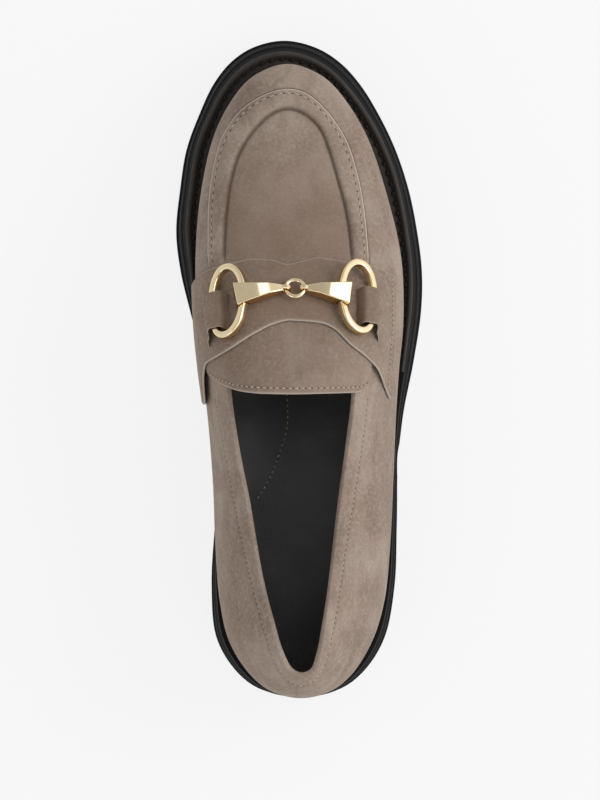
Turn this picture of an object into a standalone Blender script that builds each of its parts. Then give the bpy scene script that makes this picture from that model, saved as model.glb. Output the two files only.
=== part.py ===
"""A right bit loafer: lug sole, welt, insole, hollow suede upper, tongue, saddle, keepers and gilt bit.

Metres. +Y points to the toe, +X to the outer (lateral) side and +Z up. The origin is on the floor, under
the middle of the sole's box. Tables give their lengths as shares of the named sizes below.
"""

import math
from collections import namedtuple

import bmesh
import bpy
import numpy as np
from mathutils import Vector
from mathutils.bvhtree import BVHTree

# Sole
SOLE_LENGTH = 0.271
SOLE_WIDTH = 0.102
SOLE_THICKNESS = 0.0250
HEEL_RAISE = 0.0120
ARCH_LIFT = 0.0110
TOE_SPRING = 0.0070
SIDE_FLARE = 0.0034
TOE_FLARE = 0.0020
FLARE_LEDGE = 0.0075
SIDE_STEP = 0.0009
LUG_PITCH = 0.0142
LUG_GAP = 0.0042
LUG_HEIGHT = 0.0058
LUG_REACH = 0.0100
TREAD_PITCH = 0.0165
TREAD_DEPTH = 0.0035
TREAD_WIDTH = 0.0500

# Upper
INSTEP_HEIGHT = 0.0980
COLLAR_HEIGHT = 0.0575
WIDEST_RISE = 0.0150
WALL = 0.0020
TUCK = 0.0022
APRON_BAND = 0.0014
TOPLINE_BAND = 0.0005
SEAM_STEP = 0.0007

# Welt and insole
WELT_RIB_HEIGHT = 0.0032
WELT_FLOOR = 0.0016
WELT_RIB_WIDTH = 0.0019
INSOLE_THICKNESS = 0.0035
ARCH_PAD = 0.0035

# Tongue and saddle
TONGUE_THICKNESS = 0.0014
SADDLE_THICKNESS = 0.0013

# Bit
RING_HALF_ACROSS = 0.0068
RING_HALF_ALONG = 0.0142
RING_SWELL = 0.23
RING_WIRE_WIDTH = 0.0027
RING_WIRE_DEPTH = 0.0034
BAR_WIDE = 0.0093
BAR_WIDE_DEPTH = 0.0056
BAR_NARROW = 0.0026
BAR_NARROW_DEPTH = 0.0028
BAR_OVERHANG = 0.0036
BAR_SWELL = 0.7
EYE_RADIUS = 0.00205
EYE_WIDTH = 0.0018
CENTRE_RING_RADIUS = 0.0036
CENTRE_RING_WIRE = 0.00080
CENTRE_RING_LIFT = 0.0026
CHEEK_RING_LIFT = 0.0026
CHEEK_RING_LEAN = 0.09
KEEPER_THICKNESS = 0.0012
KEEPER_LENGTH = 0.0146
KEEPER_AHEAD = 0.0040
KEEPER_HALF_INWARD = 0.0048
KEEPER_HALF_OUTWARD = 0.0021
KEEPER_FOOT = 0.0011
KEEPER_POINT = 0.0042
KEEPER_SEARCH = 0.0060

# Clearances
GAP = 0.0003
LEATHER_GAP = 0.0004
WIRE_GAP = 0.00035
KEEPER_GAP = 0.0004
EYE_PLAY = 0.00050

# Places on the last, as shares of the length from the heel, or of the width
TOE_CENTRE = (0.80, -0.055)
HEEL_CENTRE = (0.19, -0.010)
THROAT_STEP = 6
SIDE_STEPS = 16
TOE_FAN = 18
HEEL_FAN = 14
FRONT_END_OF_COLLAR = 0.46
BREAST = 0.262
ARCH_END = 0.545

Outline = namedtuple("Outline", "along inner outer")
SOLE_OUTLINE = (
    Outline(0.000, -0.010, 0.010), Outline(0.012, 0.162, 0.169), Outline(0.040, 0.258, 0.266),
    Outline(0.090, 0.335, 0.347), Outline(0.170, 0.355, 0.388), Outline(0.260, 0.342, 0.397),
    Outline(0.350, 0.322, 0.402), Outline(0.430, 0.334, 0.423), Outline(0.510, 0.386, 0.465),
    Outline(0.590, 0.444, 0.497), Outline(0.650, 0.482, 0.500), Outline(0.710, 0.500, 0.481),
    Outline(0.775, 0.484, 0.446), Outline(0.835, 0.458, 0.393), Outline(0.890, 0.404, 0.322),
    Outline(0.935, 0.346, 0.246), Outline(0.968, 0.275, 0.163), Outline(0.990, 0.185, 0.065),
    Outline(1.000, 0.060, -0.060),
)
EDGE_OUTLINE = (
    Outline(0.014, -0.006, 0.006), Outline(0.024, 0.110, 0.124), Outline(0.048, 0.192, 0.206),
    Outline(0.097, 0.274, 0.287), Outline(0.156, 0.311, 0.335), Outline(0.240, 0.329, 0.359),
    Outline(0.334, 0.340, 0.372), Outline(0.430, 0.362, 0.384), Outline(0.500, 0.386, 0.397),
    Outline(0.570, 0.404, 0.414), Outline(0.663, 0.411, 0.407), Outline(0.753, 0.394, 0.355),
    Outline(0.843, 0.343, 0.275), Outline(0.898, 0.272, 0.190), Outline(0.932, 0.196, 0.108),
    Outline(0.950, 0.105, 0.015), Outline(0.954, 0.045, -0.045),
)
SEAM_OUTLINE = (
    Outline(0.042, -0.008, 0.008), Outline(0.052, 0.048, 0.060), Outline(0.075, 0.088, 0.098),
    Outline(0.110, 0.122, 0.124), Outline(0.170, 0.168, 0.153), Outline(0.240, 0.213, 0.180),
    Outline(0.320, 0.258, 0.216), Outline(0.400, 0.298, 0.249), Outline(0.460, 0.327, 0.266),
    Outline(0.570, 0.346, 0.276), Outline(0.680, 0.353, 0.266), Outline(0.740, 0.352, 0.251),
    Outline(0.790, 0.337, 0.225), Outline(0.840, 0.302, 0.180), Outline(0.882, 0.226, 0.104),
    Outline(0.906, 0.125, 0.030), Outline(0.913, 0.040, -0.040),
)
RIM_OUTLINE = (
    Outline(0.058, -0.011, 0.011), Outline(0.066, 0.037, 0.059), Outline(0.094, 0.077, 0.085),
    Outline(0.141, 0.110, 0.104), Outline(0.200, 0.150, 0.125), Outline(0.308, 0.203, 0.161),
    Outline(0.385, 0.245, 0.191), Outline(0.463, 0.274, 0.215), Outline(0.570, 0.283, 0.212),
    Outline(0.680, 0.287, 0.199), Outline(0.730, 0.281, 0.181), Outline(0.775, 0.264, 0.151),
    Outline(0.816, 0.232, 0.120), Outline(0.853, 0.169, 0.080), Outline(0.876, 0.100, 0.014),
    Outline(0.882, 0.043, -0.043),
)

Floor = namedtuple("Floor", "along heel spring")
FLOOR_LINE = (
    Floor(0.00, 1.00, 0.00), Floor(0.18, 0.98, 0.00), Floor(0.30, 0.86, 0.00), Floor(0.42, 0.56, 0.00),
    Floor(0.54, 0.20, 0.00), Floor(0.66, 0.00, 0.00), Floor(0.78, 0.00, 0.02), Floor(0.88, 0.00, 0.34),
    Floor(0.96, 0.00, 0.80), Floor(1.00, 0.00, 1.00),
)
Arch = namedtuple("Arch", "along lift")
ARCH_LINE = (
    Arch(0.262, 0.80), Arch(0.300, 0.96), Arch(0.360, 1.00), Arch(0.430, 0.74), Arch(0.500, 0.28),
    Arch(0.545, 0.00),
)
Side = namedtuple("Side", "step flare height")
SIDE_PROFILE = (
    Side(0.0, 0.00, 0.00), Side(0.0, 0.00, 0.30), Side(1.0, 0.04, 0.34), Side(1.0, 0.38, 0.64),
    Side(0.4, 0.44, 0.68), Side(0.4, 0.62, 0.80), Side(1.0, 0.68, 0.83), Side(1.0, 1.00, 1.00),
)
Form = namedtuple("Form", "along widest crown collar full_inner full_outer")
FORM_TABLE = (
    Form(0.014, 1.00, 1.00, 1.000, 2.05, 2.05), Form(0.100, 1.00, 1.00, 0.972, 1.85, 1.85),
    Form(0.190, 0.95, 1.00, 0.905, 1.70, 1.68), Form(0.310, 0.82, 1.00, 0.822, 1.68, 1.60),
    Form(0.380, 0.75, 1.00, 0.800, 1.75, 1.60), Form(0.460, 0.70, 1.00, 0.835, 2.00, 1.75),
    Form(0.500, 0.70, 0.960, 0.857, 2.40, 1.95), Form(0.575, 0.70, 0.880, 0.900, 2.80, 2.20),
    Form(0.650, 0.66, 0.778, 0.900, 2.70, 2.25), Form(0.700, 0.62, 0.702, 0.900, 2.55, 2.25),
    Form(0.750, 0.60, 0.646, 0.900, 2.45, 2.30), Form(0.800, 0.58, 0.604, 0.900, 2.45, 2.40),
    Form(0.850, 0.58, 0.570, 0.900, 2.50, 2.50), Form(0.900, 0.58, 0.542, 0.900, 2.50, 2.50),
    Form(0.960, 0.58, 0.515, 0.900, 2.50, 2.50),
)
Overlay = namedtuple("Overlay", "reach front rear")
SADDLE_TABLE = (
    Overlay(-1.35, 0.612, 0.470), Overlay(-1.15, 0.620, 0.455), Overlay(-1.00, 0.626, 0.447),
    Overlay(-0.93, 0.632, 0.452), Overlay(-0.89, 0.635, 0.490), Overlay(-0.85, 0.638, 0.506),
    Overlay(-0.74, 0.643, 0.514), Overlay(-0.58, 0.649, 0.525), Overlay(-0.35, 0.655, 0.5445),
    Overlay(-0.15, 0.653, 0.5585), Overlay(0.00, 0.647, 0.5635), Overlay(0.11, 0.651, 0.5625),
    Overlay(0.26, 0.657, 0.5595), Overlay(0.36, 0.655, 0.552), Overlay(0.50, 0.651, 0.5295),
    Overlay(0.63, 0.648, 0.514), Overlay(0.745, 0.643, 0.496), Overlay(0.83, 0.637, 0.475),
    Overlay(0.90, 0.630, 0.455),
)
TONGUE_TABLE = (
    Overlay(-0.880, 0.575, 0.494), Overlay(-0.850, 0.588, 0.486), Overlay(-0.720, 0.598, 0.475),
    Overlay(-0.540, 0.603, 0.466), Overlay(-0.300, 0.605, 0.462), Overlay(0.000, 0.606, 0.4615),
    Overlay(0.340, 0.604, 0.463), Overlay(0.500, 0.600, 0.464), Overlay(0.585, 0.596, 0.465),
    Overlay(0.667, 0.588, 0.472), Overlay(0.700, 0.575, 0.488),
)
Place = namedtuple("Place", "across along bar_turn")
CENTRE_RING_PLACE = Place(-0.016, 0.603, 0)
INNER_RING_PLACE = Place(-0.249, 0.5867, 2)
OUTER_RING_PLACE = Place(0.2024, 0.5938, -2)

SUEDE = (0.330, 0.262, 0.209)
SUEDE_DARK = (0.270, 0.208, 0.163)
RUBBER = (0.022, 0.022, 0.023)
WELT_BROWN = (0.045, 0.040, 0.035)
INSOLE_BLACK = (0.018, 0.018, 0.019)
GILT = (0.700, 0.520, 0.260)


def read_table(rows, key, column, place):
    """A column's value at a place along the key column, on a smooth curve through the rows."""
    keys = [getattr(row, key) for row in rows]
    values = [getattr(row, column) for row in rows]
    if place <= keys[0]:
        return values[0]
    if place >= keys[-1]:
        return values[-1]
    spans = [b - a for a, b in zip(keys, keys[1:])]
    slopes = [(b - a) / span for a, b, span in zip(values, values[1:], spans)]
    i = max(k for k in range(len(spans)) if keys[k] <= place)
    start = middle_slope(slopes, i)
    end = middle_slope(slopes, i + 1)
    t = (place - keys[i]) / spans[i]
    return (
        values[i] * (1 + 2 * t) * (1 - t) ** 2
        + values[i + 1] * t * t * (3 - 2 * t)
        + spans[i] * (start * t * (1 - t) ** 2 - end * t * t * (1 - t))
    )


def middle_slope(slopes, i):
    """The slope at row i that keeps the curve from overshooting."""
    if i == 0:
        return slopes[0]
    if i == len(slopes):
        return slopes[-1]
    before, after = slopes[i - 1], slopes[i]
    if before * after <= 0:
        return 0.0
    return 2 * before * after / (before + after)


def smooth(value, low, high):
    """0 below low, 1 above high and a soft ramp between, for low < high or the other way round."""
    t = min(max((value - low) / (high - low), 0.0), 1.0)
    return t * t * (3 - 2 * t)


def y_of(along):
    return (along - 0.5) * SOLE_LENGTH


def along_of(y):
    return y / SOLE_LENGTH + 0.5


def closed_curve(rows, steps=10):
    """An outline table as points once round: up the outer side, over the toe and down the inner side."""
    corners = [(row.outer * SOLE_WIDTH, y_of(row.along)) for row in rows]
    corners += [(-row.inner * SOLE_WIDTH, y_of(row.along)) for row in reversed(rows[1:-1])]
    corners = np.array(corners)
    count = len(corners)
    points = []
    for i in range(count):
        a, b, c, d = (corners[(i + k) % count] for k in (-1, 0, 1, 2))
        points += [spline_point(a, b, c, d, k / steps) for k in range(steps)]
    return np.array(points)


def spline_point(a, b, c, d, t):
    """A point between b and c on the centripetal curve through a, b, c and d."""
    ab = math.sqrt(np.linalg.norm(b - a))
    bc = math.sqrt(np.linalg.norm(c - b))
    cd = math.sqrt(np.linalg.norm(d - c))
    start = (b - a) / ab - (c - a) / (ab + bc) + (c - b) / bc
    end = (c - b) / bc - (d - b) / (bc + cd) + (d - c) / cd
    start, end = start * bc, end * bc
    return (
        b * (1 + 2 * t) * (1 - t) ** 2 + c * t * t * (3 - 2 * t)
        + start * t * (1 - t) ** 2 - end * t * t * (1 - t)
    )


SOLE_CURVE = closed_curve(SOLE_OUTLINE)
EDGE_CURVE = closed_curve(EDGE_OUTLINE)
SEAM_CURVE = closed_curve(SEAM_OUTLINE)
RIM_CURVE = closed_curve(RIM_OUTLINE)


def reach(curve, centre, direction):
    """How far it is from a centre to the curve along a direction, both in plan."""
    start = curve - centre
    step = np.roll(curve, -1, axis=0) - curve
    cross = direction[0] * step[:, 1] - direction[1] * step[:, 0]
    cross = np.where(abs(cross) < 1e-12, 1e-12, cross)
    share = (direction[1] * start[:, 0] - direction[0] * start[:, 1]) / cross
    distance = (start[:, 0] * step[:, 1] - start[:, 1] * step[:, 0]) / cross
    hits = distance[(share >= -1e-9) & (share <= 1 + 1e-9) & (distance > 0)]
    return float(hits.min())


def spine_x(along):
    """The centre line, straight from the heel's centre to the toe's."""
    share = (along - HEEL_CENTRE[0]) / (TOE_CENTRE[0] - HEEL_CENTRE[0])
    return SOLE_WIDTH * (HEEL_CENTRE[1] + share * (TOE_CENTRE[1] - HEEL_CENTRE[1]))


def spring_height(along):
    """The height of the tread over the floor, without the arch."""
    return TOE_SPRING * read_table(FLOOR_LINE, "along", "spring", along)


def sole_top(along):
    """The height of the sole's upper face."""
    heel = HEEL_RAISE * read_table(FLOOR_LINE, "along", "heel", along)
    return SOLE_THICKNESS + heel + spring_height(along)


class Cut:
    """One upright cut through the shoe, from a centre on the spine outwards."""

    def __init__(self, centre, direction):
        self.centre = np.array(centre)
        self.direction = np.array(direction)
        self.sole = reach(SOLE_CURVE, centre, direction)
        self.edge = reach(EDGE_CURVE, centre, direction)
        self.seam = reach(SEAM_CURVE, centre, direction)
        self.rim = reach(RIM_CURVE, centre, direction)
        self.along = along_of(self.centre[1] + self.direction[1] * self.edge)
        self.rim_along = along_of(self.centre[1] + self.direction[1] * self.rim)
        self.widest = sole_top(self.along) + GAP + WIDEST_RISE * self.form("widest")
        outer = (1 + self.direction[0]) / 2
        self.full = (1 - outer) * self.form("full_inner") + outer * self.form("full_outer")
        self.open = smooth(self.along, throat_along(), FRONT_END_OF_COLLAR)

    def form(self, column):
        return read_table(FORM_TABLE, "along", column, self.along)

    def plan(self, distance):
        return self.centre + self.direction * distance

    def ledge(self):
        """How far the sole stands out past the upper, from 0 to 1 for a full ledge."""
        return min(max((self.sole - self.edge) / FLARE_LEDGE, 0.0), 1.0)

    def flare(self):
        """How much further out the sole's side stands at the floor than above, without its step."""
        return SIDE_FLARE * self.ledge() + TOE_FLARE * smooth(self.along, 0.84, 0.945)

    def sole_upper_edge(self):
        return self.sole - SIDE_STEP - self.flare()

    def rise(self, share):
        """The height at a share of the way out, as a share of the height over the widest line."""
        return max(1 - share ** self.full, 0.0) ** (1 / self.full)

    def height(self, share, covered=False):
        """The last's height at a share of the way out to its widest line."""
        y = self.centre[1] + self.direction[1] * share * self.edge
        crown = INSTEP_HEIGHT * read_table(FORM_TABLE, "along", "crown", along_of(y))
        if self.open and not covered:
            share_of_collar = read_table(FORM_TABLE, "along", "collar", self.rim_along)
            collar = SOLE_THICKNESS + HEEL_RAISE + COLLAR_HEIGHT * share_of_collar
            virtual = self.widest + (collar - self.widest) / self.rise(self.rim / self.edge)
            crown = (1 - self.open) * crown + self.open * virtual
        return self.widest + (crown - self.widest) * self.rise(share)

    def point(self, share, covered=False):
        """A point of the last. Past 1 the share runs on down the side wall, to 2 at the feather line."""
        if share <= 1:
            x, y = self.plan(share * self.edge)
            return np.array((x, y, self.height(share, covered)))
        drop = share - 1
        tuck = max(TUCK, self.edge + TUCK / 2 - self.sole_upper_edge())
        x, y = self.plan(self.edge - tuck * drop * drop)
        bottom = sole_top(along_of(y)) + GAP
        return np.array((x, y, self.widest + (bottom - self.widest) * drop))


def throat_along():
    """Where the collar ends, under the saddle."""
    share = THROAT_STEP / SIDE_STEPS
    return TOE_CENTRE[0] + share * (HEEL_CENTRE[0] - TOE_CENTRE[0])


def cuts_round(toe, side, heel):
    """Cuts once round the shoe, from the outer side over the toe, and each one's spine point's number."""
    toe_centre = (SOLE_WIDTH * TOE_CENTRE[1], y_of(TOE_CENTRE[0]))
    heel_centre = (SOLE_WIDTH * HEEL_CENTRE[1], y_of(HEEL_CENTRE[0]))
    middles = []
    for k in range(1, side):
        along = TOE_CENTRE[0] + (HEEL_CENTRE[0] - TOE_CENTRE[0]) * k / side
        middles.append((spine_x(along), y_of(along)))
    cuts = []
    spine = []
    for k in range(toe + 1):
        turn = math.pi * k / toe
        cuts.append(Cut(toe_centre, (math.cos(turn), math.sin(turn))))
        spine.append(0)
    for k, centre in enumerate(middles):
        cuts.append(Cut(centre, (-1.0, 0.0)))
        spine.append(k + 1)
    for k in range(heel + 1):
        turn = math.pi * (1 + k / heel)
        cuts.append(Cut(heel_centre, (math.cos(turn), math.sin(turn))))
        spine.append(side)
    for k, centre in reversed(list(enumerate(middles))):
        cuts.append(Cut(centre, (1.0, 0.0)))
        spine.append(k + 1)
    return cuts, spine


class Skin:
    """Points and faces of one mesh, filled ring by ring."""

    def __init__(self):
        self.points = []
        self.faces = []

    def add(self, points):
        first = len(self.points)
        self.points += [tuple(point) for point in points]
        return list(range(first, len(self.points)))

    def band(self, low, high, closed=True):
        """Faces between two rows of points. Where two neighbours are one point, a face has three corners."""
        count = len(low)
        for i in range(count if closed else count - 1):
            j = (i + 1) % count
            corners = []
            for index in (low[i], low[j], high[j], high[i]):
                if index not in corners:
                    corners.append(index)
            if len(corners) > 2:
                self.faces.append(corners)

    def face(self, row):
        self.faces.append(list(row))


def make_object(name, points, faces, colour, roughness, metallic=0.0, helper=False):
    """A mesh object with its faces pointing out and its own material."""
    mesh = bpy.data.meshes.new(name)
    mesh.from_pydata([tuple(point) for point in points], [], faces)
    shape = bmesh.new()
    shape.from_mesh(mesh)
    bmesh.ops.recalc_face_normals(shape, faces=shape.faces)
    if not helper:
        bmesh.ops.triangulate(shape, faces=[face for face in shape.faces if len(face.verts) > 4])
    shape.to_mesh(mesh)
    shape.free()
    mesh.shade_smooth()
    mesh.set_sharp_from_angle(angle=math.radians(40))
    item = bpy.data.objects.new(name, mesh)
    bpy.context.scene.collection.objects.link(item)
    if helper:
        item.hide_render = True
        item.display_type = "WIRE"
        return item
    material = bpy.data.materials.new(name)
    material.use_nodes = True
    shader = material.node_tree.nodes["Principled BSDF"]
    shader.inputs["Base Color"].default_value = (*colour, 1.0)
    shader.inputs["Roughness"].default_value = roughness
    shader.inputs["Metallic"].default_value = metallic
    material.diffuse_color = (*colour, 1.0)
    mesh.materials.append(material)
    return item


def cut_with(item, helper, operation="DIFFERENCE"):
    """Adds a Boolean that cuts the helper from the item, or joins it on."""
    modifier = item.modifiers.new(helper.name, "BOOLEAN")
    modifier.object = helper
    modifier.operation = operation


def point_normals(points, faces):
    """Each point's normal, from the faces round it, with the faces as wound."""
    points = np.array(points)
    normals = np.zeros_like(points)
    for face in faces:
        for k in range(1, len(face) - 1):
            a, b, c = points[face[0]], points[face[k]], points[face[k + 1]]
            normal = np.cross(b - a, c - a)
            for index in (face[0], face[k], face[k + 1]):
                normals[index] += normal
    return normals / np.linalg.norm(normals, axis=1)[:, None]


def close_sheet(outer, inner, faces):
    """One closed solid between two sheets with the same faces."""
    count = len(outer)
    sides = {}
    for face in faces:
        for a, b in zip(face, face[1:] + face[:1]):
            if (b, a) in sides:
                del sides[(b, a)]
            else:
                sides[(a, b)] = True
    closed = list(faces)
    closed += [[index + count for index in reversed(face)] for face in faces]
    closed += [[b, a, a + count, b + count] for a, b in sides]
    return list(outer) + list(inner), closed


def make_outsole():
    """The lug sole with its heel: one block with a stepped side, cut under the arch and between the lugs."""
    cuts, spine = cuts_round(24, 22, 18)
    skin = Skin()
    rows = []
    for step, flare, height_share in SIDE_PROFILE:
        row = []
        for cut in cuts:
            x, y = cut.plan(cut.sole - SIDE_STEP * step - cut.flare() * flare)
            low = spring_height(along_of(y))
            row.append((x, y, low + (sole_top(along_of(y)) - low) * height_share))
        rows.append(skin.add(row))
    for low, high in zip(rows, rows[1:]):
        skin.band(low, high)
    for height, ring in ((spring_height, rows[0]), (sole_top, rows[-1])):
        middle = []
        for cut in cuts:
            x, y = cut.plan(cut.sole * 0.55)
            middle.append((x, y, height(along_of(y))))
        middle = skin.add(middle)
        centres = {}
        for number, cut in zip(spine, cuts):
            centres[number] = (*cut.centre, height(along_of(cut.centre[1])))
        first = skin.add(centres[number] for number in sorted(centres))[0]
        skin.band(ring, middle)
        skin.band(middle, [first + number for number in spine])
    sole = make_object("outsole", skin.points, skin.faces, RUBBER, 0.55)
    cut_with(sole, arch_cutter())
    cut_with(sole, lug_cutter())
    cut_with(sole, tread_cutter())
    return sole


def arch_cutter():
    """The space under the waist, from the heel's breast to the back of the forefoot."""
    profile = [(y_of(BREAST), -0.01)]
    steps = 12
    for k in range(steps + 1):
        along = BREAST + (ARCH_END - BREAST) * k / steps
        profile.append((y_of(along), ARCH_LIFT * read_table(ARCH_LINE, "along", "lift", along)))
    profile.append((y_of(ARCH_END), -0.01))
    points = [(x, y, z) for x in (-SOLE_WIDTH, SOLE_WIDTH) for y, z in profile]
    count = len(profile)
    faces = [list(range(count)), list(range(count, 2 * count))]
    faces += [[k, (k + 1) % count, (k + 1) % count + count, k + count] for k in range(count)]
    return make_object("arch_cutter", points, faces, RUBBER, 0.5, helper=True)


def box_faces(first):
    """The faces of a box whose first four points are its lower ones."""
    low = [first + k for k in range(4)]
    faces = [low, [k + 4 for k in low]]
    faces += [[low[k], low[(k + 1) % 4], low[(k + 1) % 4] + 4, low[k] + 4] for k in range(4)]
    return faces


def lug_cutter():
    """The gaps between the lugs round the edge of the tread, on the heel and on the forefoot."""
    curve = np.vstack([SOLE_CURVE, SOLE_CURVE[:1]])
    lengths = np.concatenate([[0], np.cumsum(np.linalg.norm(np.diff(curve, axis=0), axis=1))])
    count = int(lengths[-1] / LUG_PITCH)
    points = []
    faces = []
    for k in range(count):
        place = lengths[-1] * (k + 0.5) / count
        x, y = (np.interp(place, lengths, curve[:, axis]) for axis in (0, 1))
        ahead = [np.interp(place + 0.001, lengths, curve[:, axis]) for axis in (0, 1)]
        if BREAST - 0.02 < along_of(y) < ARCH_END + 0.01:
            continue
        turn = math.atan2(ahead[1] - y, ahead[0] - x)
        tangent = np.array((math.cos(turn), math.sin(turn)))
        outward = np.array((tangent[1], -tangent[0]))
        corners = []
        for out, sideways in ((-1, -1), (-1, 1), (1, 1), (1, -1)):
            depth = LUG_REACH * -1 if out < 0 else 0.004
            corners.append(np.array((x, y)) + outward * depth + tangent * sideways * LUG_GAP / 2)
        first = len(points)
        for low in (True, False):
            for corner in corners:
                top = spring_height(along_of(corner[1])) + LUG_HEIGHT
                points.append((*corner, -0.002 if low else top))
        faces += box_faces(first)
    return make_object("lug_cutter", points, faces, RUBBER, 0.5, helper=True)


def tread_cutter():
    """Straight grooves across the middle of the tread."""
    points = []
    faces = []
    for start, end in ((0.05, BREAST - 0.03), (ARCH_END + 0.035, 0.90)):
        grooves = int((end - start) * SOLE_LENGTH / TREAD_PITCH)
        for k in range(grooves + 1):
            along = start + k * TREAD_PITCH / SOLE_LENGTH
            width = min(TREAD_WIDTH, narrow_width(along) - 2 * LUG_REACH - 0.008)
            middle = spine_x(along)
            first = len(points)
            for z in (-0.002, spring_height(along) + TREAD_DEPTH):
                for x, y in ((-1, -1), (1, -1), (1, 1), (-1, 1)):
                    points.append((middle + x * width / 2, y_of(along) + y * LUG_GAP / 2, z))
            faces += box_faces(first)
    return make_object("tread_cutter", points, faces, RUBBER, 0.5, helper=True)


def narrow_width(along):
    """Twice the smaller distance from the spine to the sole's two sides."""
    centre = (spine_x(along), y_of(along))
    return 2 * min(reach(SOLE_CURVE, centre, (side, 0.0)) for side in (-1.0, 1.0))


def make_welt():
    """The strip on the ledge round the forefoot: a rib outside and a stitching groove inside."""
    cuts, _ = cuts_round(24, 22, 18)
    outer_end, inner_end = 11, 9
    order = cuts[-outer_end:] + cuts[: 24 + inner_end]
    skin = Skin()
    rows = []
    for cut in order:
        outer = cut.sole_upper_edge() - GAP
        inner = cut.edge - TUCK * 0.3
        rib = min(WELT_RIB_WIDTH, (outer - inner) * 0.45)
        section = (
            (outer, 0), (outer, WELT_RIB_HEIGHT * 0.75), (outer - rib * 0.3, WELT_RIB_HEIGHT),
            (outer - rib * 0.75, WELT_RIB_HEIGHT), (outer - rib, WELT_FLOOR), (inner, WELT_FLOOR), (inner, 0),
        )
        row = []
        for distance, height in section:
            x, y = cut.plan(distance)
            row.append((x, y, sole_top(along_of(y)) + GAP + height))
        rows.append(skin.add(row))
    for low, high in zip(rows, rows[1:]):
        skin.band(low, high)
    skin.face(rows[0])
    skin.face(rows[-1])
    return make_object("welt", skin.points, skin.faces, WELT_BROWN, 0.6)


def make_insole():
    """The footbed inside the upper, raised at the inner arch."""
    cuts, spine = cuts_round(16, 14, 12)
    skin = Skin()
    low, high, middle = [], [], []
    for cut in cuts:
        feather = np.linalg.norm(cut.point(2)[:2] - cut.centre)
        outer = feather - WALL - 2 * GAP
        for share, row, height in ((1, low, 0), (1, high, INSOLE_THICKNESS), (0.6, middle, INSOLE_THICKNESS)):
            x, y = cut.plan(outer * share)
            pad = 0
            if height:
                arch = smooth(along_of(y), 0.28, 0.42) * smooth(along_of(y), 0.66, 0.52)
                pad = ARCH_PAD * arch * smooth(spine_x(along_of(y)) - x, 0.0, 0.3 * SOLE_WIDTH)
            row.append((x, y, sole_top(along_of(y)) + GAP + height + pad))
    low, high, middle = (skin.add(row) for row in (low, high, middle))
    skin.band(low, high)
    skin.band(high, middle)
    for ring, height in ((low, 0), (middle, INSOLE_THICKNESS)):
        centres = {}
        for number, cut in zip(spine, cuts):
            centres[number] = (*cut.centre, sole_top(along_of(cut.centre[1])) + GAP + height)
        first = skin.add(centres[number] for number in sorted(centres))[0]
        skin.band(ring, [first + number for number in spine])
    return make_object("insole", skin.points, skin.faces, INSOLE_BLACK, 0.4)


def upper_rows(cut):
    """The shares of the way out at which the upper's rows lie, and how far each stands proud."""
    seam = cut.seam / cut.edge
    rim = cut.rim / cut.edge
    step = SEAM_STEP / cut.edge
    front = smooth(cut.along, 0.64, 0.72)
    rear = smooth(cut.along, 0.46, 0.42)
    band = APRON_BAND * front + TOPLINE_BAND * rear
    rows = [(2.0, 0.0), (1.5, 0.0), (1.0, 0.0)]
    for k in (1, 2, 3):
        turn = 1 - (1 - math.asin(seam ** (cut.full / 2)) * 2 / math.pi) * k / 4
        rows.append((math.sin(turn * math.pi / 2) ** (2 / cut.full), 0.0))
    rows.append((seam, 0.0))
    rows.append((seam - step, band * 0.65))
    rows.append(((seam - step) * 0.5 + rim * 0.5, band))
    rows.append((rim, TOPLINE_BAND * rear - 0.1 * APRON_BAND * front))
    return rows


def make_upper():
    """The upper: one hollow wall, open at the collar and underneath, with its apron seam as a step."""
    cuts, spine = cuts_round(TOE_FAN, SIDE_STEPS, HEEL_FAN)
    skin = Skin()
    proud = []
    table = [upper_rows(cut) for cut in cuts]
    rings = []
    for level in range(len(table[0])):
        rings.append(skin.add(cut.point(rows[level][0]) for cut, rows in zip(cuts, table)))
        proud += [rows[level][1] for rows in table]
    for low, high in zip(rings, rings[1:]):
        skin.band(low, high)
    front = list(range(-THROAT_STEP, TOE_FAN + THROAT_STEP + 1))
    closing = [[rings[-1][k] for k in front]]
    for share, height in ((0.75, 0.30), (0.40, 0.35)):
        closing.append(skin.add(cuts[k].point(share * cuts[k].rim / cuts[k].edge) for k in front))
        proud += [APRON_BAND * height * smooth(cuts[k].along, 0.64, 0.72) for k in front]
    centres = {spine[k]: cuts[k] for k in front}
    first = skin.add(centres[number].point(0.0) for number in sorted(centres))[0]
    proud += [APRON_BAND * 0.35 * smooth(centres[number].along, 0.64, 0.72) for number in sorted(centres)]
    closing.append([first + spine[k] for k in front])
    for low, high in zip(closing, closing[1:]):
        skin.band(low, high, closed=False)
    normals = point_normals(skin.points, skin.faces)
    base = np.array(skin.points)
    outer = base + normals * np.array(proud)[:, None]
    inner = base - normals * WALL
    inner[rings[0], 2] = base[rings[0], 2]
    points, faces = close_sheet(outer, inner, skin.faces)
    return make_object("upper", points, faces, SUEDE, 0.9)


def last_point(along, share):
    """A point on the closed form of the last, with the inner side's shares below 0."""
    side = 1.0 if share >= 0 else -1.0
    cut = Cut((spine_x(along), y_of(along)), (side, 0.0))
    covered, bare = cut.point(abs(share), True), cut.point(abs(share))
    covered[2] += max(bare[2] - covered[2], 0.0) * smooth(abs(share), 0.0, 0.5)
    return covered


def last_normal(along, share):
    """The outward direction there."""
    step = 0.004
    low = share - step * 2
    high = share + step * 2
    across = last_point(along, high) - last_point(along, low)
    ahead = last_point(along + step, share) - last_point(along - step, share)
    normal = np.cross(across, ahead)
    return normal / np.linalg.norm(normal)


def tongue_lift(along, share):
    """How far the saddle is lifted by the tongue beneath it, from 0 to 1."""
    inner = smooth(share, -0.99, -0.90)
    outer = smooth(share, 0.88, 0.70)
    return inner * outer * smooth(along, 0.640, 0.612)


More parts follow.
